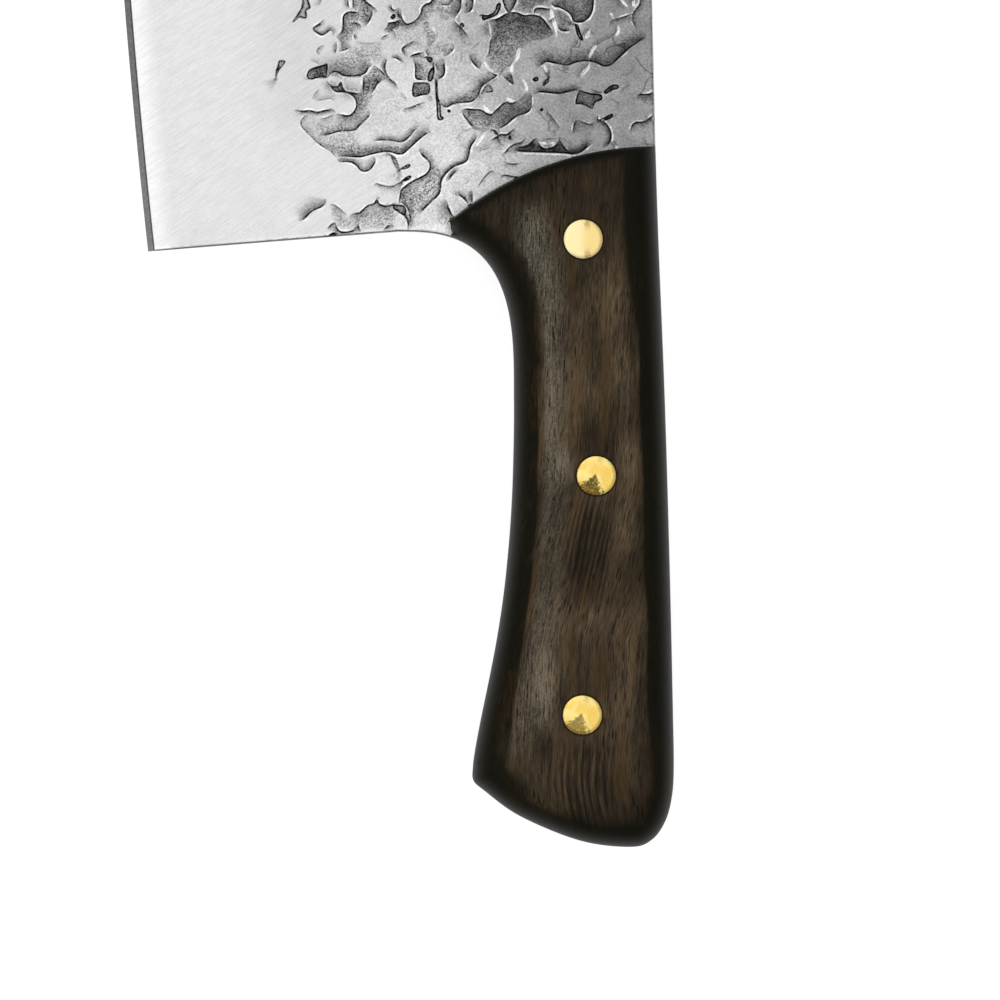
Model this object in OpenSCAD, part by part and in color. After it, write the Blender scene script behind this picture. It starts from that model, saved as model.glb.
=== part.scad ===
// Forged full-tang cleaver with two wooden scales and three cutler's rivets.
// It lies on the cheek of its right scale: the nose points along +Y, the edge along -X and the spine along +X.
// The outline is drawn first in knife coordinates, with their origin where the spine meets the front of the
// handle and halfway through the blade, and then moved to the middle of the footprint.

/* [Blade] */
// Length of the blade, from the front of the handle to the nose
blade_length = 180; // [130:1:240]
// Width of the blade at the heel, from the edge to the spine
heel_width = 91.4; // [80:0.1:120]
// Thickness of the blade at the spine
spine_thickness = 4; // [3:0.1:6]
// Thickness just behind the sharpened bevel
shoulder_thickness = 0.8; // [0.4:0.1:1.5]
// Thickness of the edge itself
edge_thickness = 0.1; // [0.06:0.01:0.3]
// Width of the sharpened bevel
bevel_width = 1.3; // [0.8:0.1:3]
// Width of the ground band, from the edge to the forged flat
grind_width = 52; // [30:0.5:53]
// Radius of the belly, the long curve of the edge
belly_radius = 1500; // [900:10:3000]
// Lean of the edge away from the spine at the heel, in degrees
edge_lean = 6.3; // [3:0.1:8]
// Lean of the spine towards the edge, in degrees
spine_lean = 1.3; // [0:0.1:3]
// Radius of the nose's corner at the spine
nose_spine_radius = 14; // [4:0.5:25]
// Radius of the nose's corner at the edge
nose_edge_radius = 9; // [4:0.5:25]
// How far the middle of the nose stands out past its corners
nose_bow = 2.5; // [1:0.1:6]
// Distance of the heel's corner behind the front of the handle
heel_drop = 18.6; // [17:0.1:24]

/* [Handle] */
// Length of the handle, from its front at the spine to the end of the butt
handle_length = 125.8; // [110:0.1:150]
// Thickness of the handle across both scales
handle_thickness = 22; // [18:0.1:28]
// Thickness of the tang between the scales
tang_thickness = 3.6; // [2.6:0.1:5]
// Reach of the finger side from the spine's line at the grip
grip_reach = 25.5; // [23:0.1:29]
// Reach of the finger side from the spine's line at the butt
butt_reach = 32.9; // [30:0.1:38]
// Reach of the handle's front tip from the spine's line
tip_reach = 37.1; // [34:0.1:40]
// Reach of the point where the heel turns into the handle
turn_reach = 46.4; // [42:0.1:52]
// Distance of that turn behind the front of the handle
turn_drop = 15; // [13:0.1:17]
// How far the back of the butt stands out past the spine's line
back_rise = 3.3; // [0:0.1:6]
// Radius of the arc across the front of the scales
front_radius = 58; // [50:1:75]
// Width of the rounding along the sides and round the butt
side_round = 5; // [3:0.1:7]
// Width of the rounding along the front arc
front_round = 1.8; // [1:0.1:3]
// Height of the rounding along the front arc
front_round_height = 3; // [1.5:0.1:5]

/* [Rivets] */
// Diameter of a rivet's head
head_d = 7; // [6:0.1:9]
// Thickness of a rivet's head
head_thickness = 1.5; // [1:0.1:2.5]
// Outer diameter of a rivet's hollow sleeve
sleeve_d = 5; // [4.2:0.1:5.6]
// Diameter of the pin that is pressed into the sleeve
pin_d = 3; // [2:0.1:3.4]
// Length of the pin that stays out of the sleeve, behind the pin's head
pin_show = 1; // [0.5:0.1:2]
// Room between the pin's end and the bottom of the sleeve
pin_room = 1; // [0.5:0.1:2]
// Gap round a rivet in the wood, on the radius
wood_gap = 0.05; // [0.02:0.01:0.15]
// Gap round a rivet in the tang, on the radius
tang_gap = 0.2; // [0.1:0.05:0.4]

/* [Hidden] */

// Overrun of every cut and of every trimming solid
overrun = 2;
// Gap between the front of the scales and the step in the tang
reveal = 0.3;
// Gap between a pressed pin and its sleeve, on the radius
press_gap = 0.01;
// Facets of round holes and pins, and of the long sweeps
round_fn = 64;
sweep_fn = 256;
// Steps along each kind of curve
curve_steps = 4;
corner_steps = 6;
nose_steps = 8;
quarter_steps = 14;
grind_steps = 6;
round_steps = 6;

// Back of the handle: share of the handle's length, share of back_rise
back_shares = [[0, 0], [0.13, 0.16], [0.36, 0.51], [0.60, 0.78], [0.80, 0.95], [0.89, 1]];
// Butt: share of the handle's length, share of the butt's width from the back
butt_shares = [[0.933, 0.012], [0.965, 0.045], [0.99, 0.11], [1, 0.215], [0.991, 0.467],
               [0.956, 0.765], [0.919, 0.945]];
// Finger side from the butt to the grip: share of the handle's length, share of the way from grip to butt
finger_shares = [[0.905, 0.985], [0.887, 1], [0.863, 0.95], [0.819, 0.81], [0.762, 0.61],
                 [0.704, 0.42], [0.647, 0.27], [0.59, 0.16], [0.533, 0.08], [0.475, 0.03], [0.40, 0]];
// Where the grip is narrowest, as a share of the handle's length
grip_share = 0.345;
// Power of the rounded quarter curve from the grip to the heel: 2 is an ellipse
quarter_power = 2.9;
// Power of the rounding from a scale's side to its cheek
round_power = 2.4;
// Rivets: share of the handle's length, share of grip_reach from the spine's line
rivet_shares = [[0.132, 0.512], [0.469, 0.42], [0.81, 0.518]];
// Middle line of the handle that the rounding leads to, as a share of grip_reach, and where it ends at the butt
middle_share = 0.51;
middle_end_share = 0.86;

butt_width = butt_reach + back_rise;
half_spine = spine_thickness / 2;
half_tang = tang_thickness / 2;
half_handle = handle_thickness / 2;
half_shoulder = shoulder_thickness / 2;
half_edge = edge_thickness / 2;

// Middle of the belly's arc, and the angle of its radius to the heel's corner
belly_x = -heel_width + belly_radius * cos(edge_lean);
belly_y = -heel_drop + belly_radius * sin(edge_lean);

// A point of the edge at a distance ahead of the front of the handle
function edge_x(y) = belly_x - sqrt(belly_radius ^ 2 - (y - belly_y) ^ 2);
function spine_x(y) = -y * tan(spine_lean);

// Smooth curve through points, without its last point
function curve_through(p) = [
    for (i = [0 : len(p) - 2], s = [0 : curve_steps - 1])
        let (a = p[max(i - 1, 0)], b = p[i], c = p[i + 1], d = p[min(i + 2, len(p) - 1)],
             t = s / curve_steps)
        (2 * b + (c - a) * t + (2 * a - 5 * b + 4 * c - d) * t ^ 2 + (3 * b - a - 3 * c + d) * t ^ 3) / 2
];

// A corner between two straight sides, rounded to a radius
function rounded(before, corner, after, radius) =
    let (u = (before - corner) / norm(before - corner),
         w = (after - corner) / norm(after - corner),
         half = acos(u * w) / 2,
         middle = corner + (u + w) / norm(u + w) * radius / sin(half),
         from = corner + u * radius / tan(half),
         to = corner + w * radius / tan(half))
    [for (s = [0 : corner_steps])
        let (ray = (from - middle) * (1 - s / corner_steps) + (to - middle) * s / corner_steps)
        middle + ray / norm(ray) * radius];

// The handle's outline in knife coordinates, from the front corner at the spine to the heel's turn
back_curve = [for (s = back_shares) [s.y * back_rise, -s.x * handle_length]];
butt_curve = [for (s = butt_shares) [back_rise - s.y * butt_width, -s.x * handle_length]];
finger_curve = [for (s = finger_shares)
    [-grip_reach - s.y * (butt_reach - grip_reach), -s.x * handle_length]];
grip_drop = grip_share * handle_length;
quarter_curve = [for (s = [0 : quarter_steps])
    let (angle = s / quarter_steps * 90,
         across = cos(angle) ^ (2 / quarter_power),
         along = 1 - sin(angle) ^ (2 / quarter_power))
    [-turn_reach + across * (turn_reach - grip_reach), -turn_drop - along * (grip_drop - turn_drop)]];
handle_outline = concat(
    curve_through(concat(back_curve, butt_curve, finger_curve, [quarter_curve[0]])),
    quarter_curve);

// The nose's corners, and the apex where the tangents at the two ends of its bow meet
nose_spine = [spine_x(blade_length), blade_length];
nose_edge = [edge_x(blade_length), blade_length];
nose_apex = (nose_spine + nose_edge) / 2 + [0, 2 * nose_bow];
edge_tangent = [belly_y - nose_edge.y, nose_edge.x - belly_x];
edge_corner = rounded(nose_apex, nose_edge, nose_edge + edge_tangent, nose_edge_radius);
spine_corner = rounded([0, 0], nose_spine, nose_apex, nose_spine_radius);
nose_curve = [for (s = [1 : nose_steps - 1])
    let (t = s / nose_steps)
    edge_corner[0] * (1 - t) ^ 2 + nose_apex * 2 * t * (1 - t) + spine_corner[corner_steps] * t ^ 2];
edge_end = edge_corner[corner_steps];
low_x = edge_x(min(belly_y, edge_end.y));

// The outline of the steel, which runs past the edge: the ground ring trims it there
trim_x = low_x - overrun;
heel_slope = (heel_drop - turn_drop) / (heel_width - turn_reach);
steel_outline = concat(
    handle_outline,
    [[trim_x, -turn_drop + (trim_x + turn_reach) * heel_slope], [trim_x, edge_end.y]],
    [for (i = [corner_steps : -1 : 0]) edge_corner[i]],
    nose_curve,
    [for (i = [corner_steps : -1 : 0]) spine_corner[i]]);

// Middle of the footprint in knife coordinates, at the height of the right scale's cheek
high_x = max([for (p = handle_outline) p.x]);
low_y = min([for (p = handle_outline) p.y]);
high_y = max([for (p = steel_outline) p.y]);
footprint_middle = [(low_x + high_x) / 2, (low_y + high_y) / 2, -half_handle];

// Half the thickness of the ground band at a distance from the edge
function ground_half(u) =
    let (left = 1 - (u - bevel_width) / (grind_width - bevel_width))
    half_shoulder + (half_spine - half_shoulder) * (1 - left ^ 2);

// Section of the blade across its width, at distances from the edge
band_depth = heel_width + back_rise + overrun;
half_section = concat(
    [[0, half_edge]],
    [for (s = [0 : grind_steps])
        let (u = bevel_width + s / grind_steps * (grind_width - bevel_width))
        [u, ground_half(u)]],
    [[belly_radius - belly_x + overrun + back_rise, half_spine]]);

module knife_frame() {
    translate(-footprint_middle) children();
}

// The ring that carries the blade's section along the belly's arc
module ground_ring() {
    section = concat(
        [for (p = half_section) [belly_radius - p.x, p.y]],
        [for (i = [len(half_section) - 1 : -1 : 0]) [belly_radius - half_section[i].x, -half_section[i].y]]);
    reach = asin((blade_length + nose_bow + overrun - belly_y) / belly_radius);
    start = asin((low_y - overrun - belly_y) / (belly_radius - band_depth));
    translate([belly_x, belly_y, 0])
        rotate([0, 0, 180 - reach])
            rotate_extrude(angle = reach - start, $fn = sweep_fn)
                polygon(section);
}

// The wood's footprint seen from above: an arc across the front, and a blunt tip at the finger side
module front_disc(grow, base, top) {
    translate([0, -front_radius, base])
        cylinder(r = front_radius + grow, h = top - base, $fn = round_fn);
    translate([-front_radius, -handle_length - overrun, base])
        cube([2 * front_radius, handle_length + overrun - front_radius, top - base]);
}

module left_of_tip(grow, base, top) {
    translate([-2 * front_radius - tip_reach - grow, -handle_length - overrun, base])
        cube([2 * front_radius, 2 * handle_length, top - base]);
}

// Takes the steel down to the tang's thickness on one side, under a scale
module tang_step() {
    difference() {
        front_disc(reveal, half_tang, half_spine + overrun);
        left_of_tip(reveal, half_tang - overrun, half_spine + 2 * overrun);
    }
}

function rivet_place(i) = [-rivet_shares[i].y * grip_reach, -rivet_shares[i].x * handle_length];

module at_rivets() {
    for (i = [0 : len(rivet_shares) - 1])
        translate(rivet_place(i)) children();
}

module blade() {
    color([0.74, 0.74, 0.73]) knife_frame() difference() {
        intersection() {
            translate([0, 0, -half_spine - overrun])
                linear_extrude(spine_thickness + 2 * overrun)
                    polygon(steel_outline);
            ground_ring();
        }
        tang_step();
        mirror([0, 0, 1]) tang_step();
        at_rivets()
            translate([0, 0, -half_spine - overrun])
                cylinder(d = sleeve_d + 2 * tang_gap, h = spine_thickness + 2 * overrun, $fn = round_fn);
    }
}

// The scale's outline, closed past its front arc
front_end = front_round_height + overrun;
scale_outline = concat(
    handle_outline,
    [[-turn_reach, front_end], [0, front_end]]);

// One ring of the scale's skin: at t = 0 it is the outline on the tang, at t = 90 the edge of the cheek
function skin_ring(t) =
    let (inset = side_round * (1 - cos(t) ^ (2 / round_power)),
         height = half_tang + (half_handle - half_tang) * sin(t) ^ (2 / round_power))
    [for (p = scale_outline)
        let (goal = [-middle_share * grip_reach, max(p.y, -middle_end_share * handle_length)],
             way = goal - p)
        [p.x + way.x / norm(way) * inset, p.y + way.y / norm(way) * inset, height]];

// Triangles across a ring between its two sides, from its front to its butt: i counts up from the ring's
// first point and j down from its last
function across(ring, i, j) =
    j - i < 2 ? []
    : ring[i + 1].y > ring[j - 1].y ? concat([[i, i + 1, j]], across(ring, i + 1, j))
    : concat([[i, j - 1, j]], across(ring, i, j - 1));

// Joins rings of points into one closed skin
module skin(rings) {
    n = len(rings[0]);
    top = n * (len(rings) - 1);
    sides = [for (r = [0 : n : top - n], i = [0 : n - 1])
        let (j = (i + 1) % n)
        each [[r + i, r + n + i, r + j], [r + n + i, r + n + j, r + j]]];
    base = across(rings[0], 0, n - 1);
    cheek = [for (f = across(rings[len(rings) - 1], 0, n - 1)) [top + f[2], top + f[1], top + f[0]]];
    polyhedron([for (ring = rings) each ring], concat(sides, base, cheek));
}

// The turned front of a scale: an arc in plan, with its top edge rounded over
module front_form() {
    profile = concat(
        [[0, 0], [front_radius, 0]],
        [for (s = [0 : round_steps])
            let (t = s / round_steps * 90)
            [front_radius - front_round * (1 - cos(t)),
             half_handle - front_round_height * (1 - sin(t))]],
        [[0, half_handle]]);
    translate([0, -front_radius, 0])
        rotate_extrude($fn = round_fn) polygon(profile);
    translate([-front_radius, -handle_length - overrun, 0])
        cube([2 * front_radius, handle_length + overrun - front_radius, half_handle]);
}

// The scale on the +Z side of the tang, in knife coordinates
module scale_body() {
    difference() {
        intersection() {
            skin([for (s = [0 : round_steps]) skin_ring(s / round_steps * 90)]);
            front_form();
        }
        left_of_tip(0, -overrun, half_handle + overrun);
        at_rivets() {
            cylinder(d = sleeve_d + 2 * wood_gap, h = half_handle + overrun, $fn = round_fn);
            translate([0, 0, half_handle - head_thickness - wood_gap])
                cylinder(d = head_d + 2 * wood_gap, h = head_thickness + overrun, $fn = round_fn);
        }
    }
}

module left_scale() {
    color([0.22, 0.17, 0.13]) knife_frame() scale_body();
}

module right_scale() {
    color([0.22, 0.17, 0.13]) knife_frame() mirror([0, 0, 1]) scale_body();
}

// The hollow half of a rivet, with its head flush in the left cheek
module rivet_sleeve(i) {
    tube_end = -half_handle + head_thickness + pin_show;
    hole_end = half_handle - head_thickness;
    color([0.86, 0.68, 0.32]) knife_frame() translate(rivet_place(i)) difference() {
        union() {
            translate([0, 0, half_handle - head_thickness])
                cylinder(d = head_d, h = head_thickness, $fn = round_fn);
            translate([0, 0, tube_end])
                cylinder(d = sleeve_d, h = hole_end - tube_end, $fn = round_fn);
        }
        translate([0, 0, tube_end - overrun])
            cylinder(d = pin_d + 2 * press_gap, h = hole_end - tube_end + overrun, $fn = round_fn);
    }
}

// The solid half of a rivet, pressed up into the sleeve from the right cheek
module rivet_pin(i) {
    pin_top = half_handle - head_thickness - pin_room;
    color([0.86, 0.68, 0.32]) knife_frame() translate(rivet_place(i)) {
        translate([0, 0, -half_handle])
            cylinder(d = head_d, h = head_thickness, $fn = round_fn);
        translate([0, 0, -half_handle])
            cylinder(d = pin_d, h = half_handle + pin_top, $fn = round_fn);
    }
}

blade();
left_scale();
right_scale();
rivet_sleeve(0);  // front_rivet_sleeve
rivet_pin(0);  // front_rivet_pin
rivet_sleeve(1);  // middle_rivet_sleeve
rivet_pin(1);  // middle_rivet_pin
rivet_sleeve(2);  // rear_rivet_sleeve
rivet_pin(2);  // rear_rivet_pin
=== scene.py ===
import math

import bpy
import numpy as np
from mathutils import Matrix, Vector
from mathutils.geometry import delaunay_2d_cdt


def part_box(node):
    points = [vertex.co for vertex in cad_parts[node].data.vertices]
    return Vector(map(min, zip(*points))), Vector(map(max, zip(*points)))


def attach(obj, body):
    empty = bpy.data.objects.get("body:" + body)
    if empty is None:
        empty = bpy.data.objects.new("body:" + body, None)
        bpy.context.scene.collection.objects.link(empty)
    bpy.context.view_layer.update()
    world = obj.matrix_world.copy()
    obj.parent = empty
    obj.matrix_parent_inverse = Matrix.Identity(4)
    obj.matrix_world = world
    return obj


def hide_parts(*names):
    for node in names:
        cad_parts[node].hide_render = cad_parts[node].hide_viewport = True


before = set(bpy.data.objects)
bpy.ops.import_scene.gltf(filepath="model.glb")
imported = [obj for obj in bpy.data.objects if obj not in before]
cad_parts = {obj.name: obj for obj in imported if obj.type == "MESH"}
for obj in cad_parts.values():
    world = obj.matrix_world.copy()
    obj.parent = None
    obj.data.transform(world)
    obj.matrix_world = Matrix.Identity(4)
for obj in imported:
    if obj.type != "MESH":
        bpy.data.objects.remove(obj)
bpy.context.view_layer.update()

# The cleaver is worked out in millimetres, in knife coordinates. Their origin is the front corner of the
# handle at the spine, halfway through the blade. X leads to the back of the hand, Y to the nose and Z to the
# left side.


def box_mm(node):
    """The corners of a CAD node's box in millimetres."""
    return [np.array(corner) * 1000 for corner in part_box(node)]


BACK_RISE = 3.3
blade_low, blade_high = box_mm("blade")
wood_low, wood_high = box_mm("left_scale")
CORNER = np.array([wood_high[0] - BACK_RISE, wood_high[1], (blade_low[2] + blade_high[2]) / 2])

# Blade
BLADE_LENGTH = 180.0
HEEL_WIDTH = 91.4
HEEL_DROP = 18.6
HALF_SPINE = blade_high[2] - CORNER[2]
HALF_TANG = wood_low[2] - CORNER[2]
HALF_SHOULDER = 0.4
HALF_EDGE = 0.05
BEVEL_WIDTH = 1.3
GRIND_WIDTH = 52.0
BELLY_RADIUS = 1500.0
EDGE_LEAN = math.radians(6.3)
SPINE_LEAN = math.radians(1.3)
NOSE_SPINE_RADIUS = 14.0
NOSE_EDGE_RADIUS = 9.0
NOSE_BOW = 2.5
EASED_EDGE = 0.35
HEEL_EASE = 0.28
HEEL_EASE_ROOM = 8.0
HEEL_LINE = 0.6
FORGE_DEPTH = 0.30
BELLY_MIDDLE = np.array([-HEEL_WIDTH + BELLY_RADIUS * math.cos(EDGE_LEAN),
                         -HEEL_DROP + BELLY_RADIUS * math.sin(EDGE_LEAN)])

# Handle
HANDLE_LENGTH = wood_high[1] - wood_low[1]
HALF_HANDLE = wood_high[2] - CORNER[2]
TIP_REACH = CORNER[0] - wood_low[0]
GRIP_REACH = 25.5
BUTT_REACH = 32.9
BUTT_WIDTH = BUTT_REACH + BACK_RISE
TURN_REACH = 46.4
TURN_DROP = 15.0
HEEL_WAY = np.array([HEEL_WIDTH - TURN_REACH, HEEL_DROP - TURN_DROP])
HEEL_WAY /= np.linalg.norm(HEEL_WAY)
GRIP_DROP = 0.345 * HANDLE_LENGTH
FRONT_RADIUS = 58.0
FRONT_MIDDLE = np.array([0.0, -FRONT_RADIUS])
SIDE_ROUND = 5.0
FRONT_ROUND = 1.8
FRONT_ROUND_HEIGHT = 3.0
TIP_ROUND = 1.0
REVEAL = 0.3
ROUND_POWER = 2.4
QUARTER_POWER = 2.9

# Back of the handle, butt and finger side: share of the handle's length, share of the way out
BACK_SHARES = [(0, 0), (0.13, 0.16), (0.36, 0.51), (0.60, 0.78), (0.80, 0.95), (0.89, 1)]
BUTT_SHARES = [(0.933, 0.012), (0.965, 0.045), (0.99, 0.11), (1, 0.215), (0.991, 0.467),
               (0.956, 0.765), (0.919, 0.945)]
FINGER_SHARES = [(0.905, 0.985), (0.887, 1), (0.863, 0.95), (0.819, 0.81), (0.762, 0.61), (0.704, 0.42),
                 (0.647, 0.27), (0.59, 0.16), (0.533, 0.08), (0.475, 0.03), (0.40, 0)]

# Rivets
RIVETS = ("front", "middle", "rear")
RIVET_PLACES = {}
for name in RIVETS:
    low, high = box_mm(f"{name}_rivet_sleeve")
    RIVET_PLACES[name] = (low[:2] + high[:2]) / 2 - CORNER[:2]
HEAD_D = high[0] - low[0]
HEAD_THICKNESS = 1.5
SLEEVE_D = 5.0
PIN_D = 3.0
PRESS_ROOM = 0.01
PIN_SHOW = 1.0
PIN_ROOM = 1.0
WOOD_GAP = 0.05
TANG_GAP = 0.2
WEDGE_WAY = (math.cos(math.radians(251)), math.sin(math.radians(251)))

# Dots of the blade's mesh: how far apart, and how far in from the outline. They are close together on the
# relief, most of all on the left face. A face has a distance by the heel, one past it, and where it changes.
OUTLINE_SPACING = 0.7
STROKE_SPACING = 0.22
LEFT_DOTS = (0.42, 0.75, 30.0)
RIGHT_DOTS = (0.90, 0.90, 36.0)
BAND_SPACING = 1.6
TANG_SPACING = 3.0
RELIEF_FROM = 22.0
EDGE_SPACING = 0.8
EDGE_INSETS = (0.35, 0.8, BEVEL_WIDTH, 2.2)
SPINE_INSETS = (0.12, 0.35)
HEEL_INSETS = (0.10, 0.28)
FRONT_STEP = 0.12
FRONT_ARC = (90.4, 131)
INSET_LEAST = 0.9
STEP_OFFSETS = (-0.30, -0.12, 0.0, 0.12)
LAST_OFFSET = 0.34

# How far those dots stay clear of the outline, the holes, the steps' lines and the wood
OUTLINE_CLEAR = 0.25
HOLE_CLEAR = 0.5
STEP_CLEAR = 0.30
ROW_CLEAR = 0.4
WOOD_CLEAR = 0.1
WOOD_ROW_CLEAR = 0.15
ARC_CLEAR = 0.3

# What counts as the heel's and the spine's side, how far under the wood the steel thins to the tang, and how
# sharp an edge has to be to look sharp, in degrees
HEEL_TOP = -10.0
HEEL_PAST_TIP = 1.0
HEEL_BEFORE_EDGE = 0.8
EDGE_START = 0.6
SPINE_SIDE = 3.0
SPINE_START = -0.5
UNDER_EDGE = 0.06
SHARP_ANGLE = 50

# Dots of the scales' mesh
SCALE_SPACING = 0.5
CHEEK_SPACING = 0.9
CHEEK_CLEAR = 0.3
UNDER_SPACING = 4.0
UNDER_CLEAR = 1.0
SCALE_INSET_LEAST = 0.97
ROUND_ANGLES = (8, 16, 24, 32, 40, 48, 56, 64, 72, 80, 90)

# The photograph's frame: how wide it is at the knife, and where the front corner is seen in it
SEEN_WIDTH = 180.0
SEEN_CORNER = (0.1555, 0.352)

# Drawn steps: how far up the blade they go and where they blend with the forge pattern, the width of a step,
# its dark line and the painted highlight on its rim, how far it reaches to the side, how its painted shade,
# partly scale left in the corner, and its ends fade, how a ridge's painted highlight rises, and how the
# floors begin and how deep they are
DRAWN_TO = 29.6
DRAWN_BLEND = 2.6
STEP_WIDTH = 0.18
LINE_MIDDLE = 0.05
LINE_REACH = 0.30
RIM_MIDDLE = 0.22
RIM_REACH = 0.26
WEAK_RIM = 0.45
STROKE_SIDE = 0.5
SHADE_STRETCH = 1.6
SHADE_LEAST = 0.4
SHADE_DEPTH = 0.85
STEP_END = 1.4
STEP_END_SHARE = 0.35
RIDGE_END_SHARE = 0.3
RIDGE_LEVEL = 1.55
RIDGE_TOP = 1.35
END_POWER = 0.7
FLOOR_BORDER = 1.6
FLOOR_BORDER_SHARE = 0.6
FLOOR_DEPTH_SHARE = 0.30
FLOOR_DEEPEST = 1.5
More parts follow.
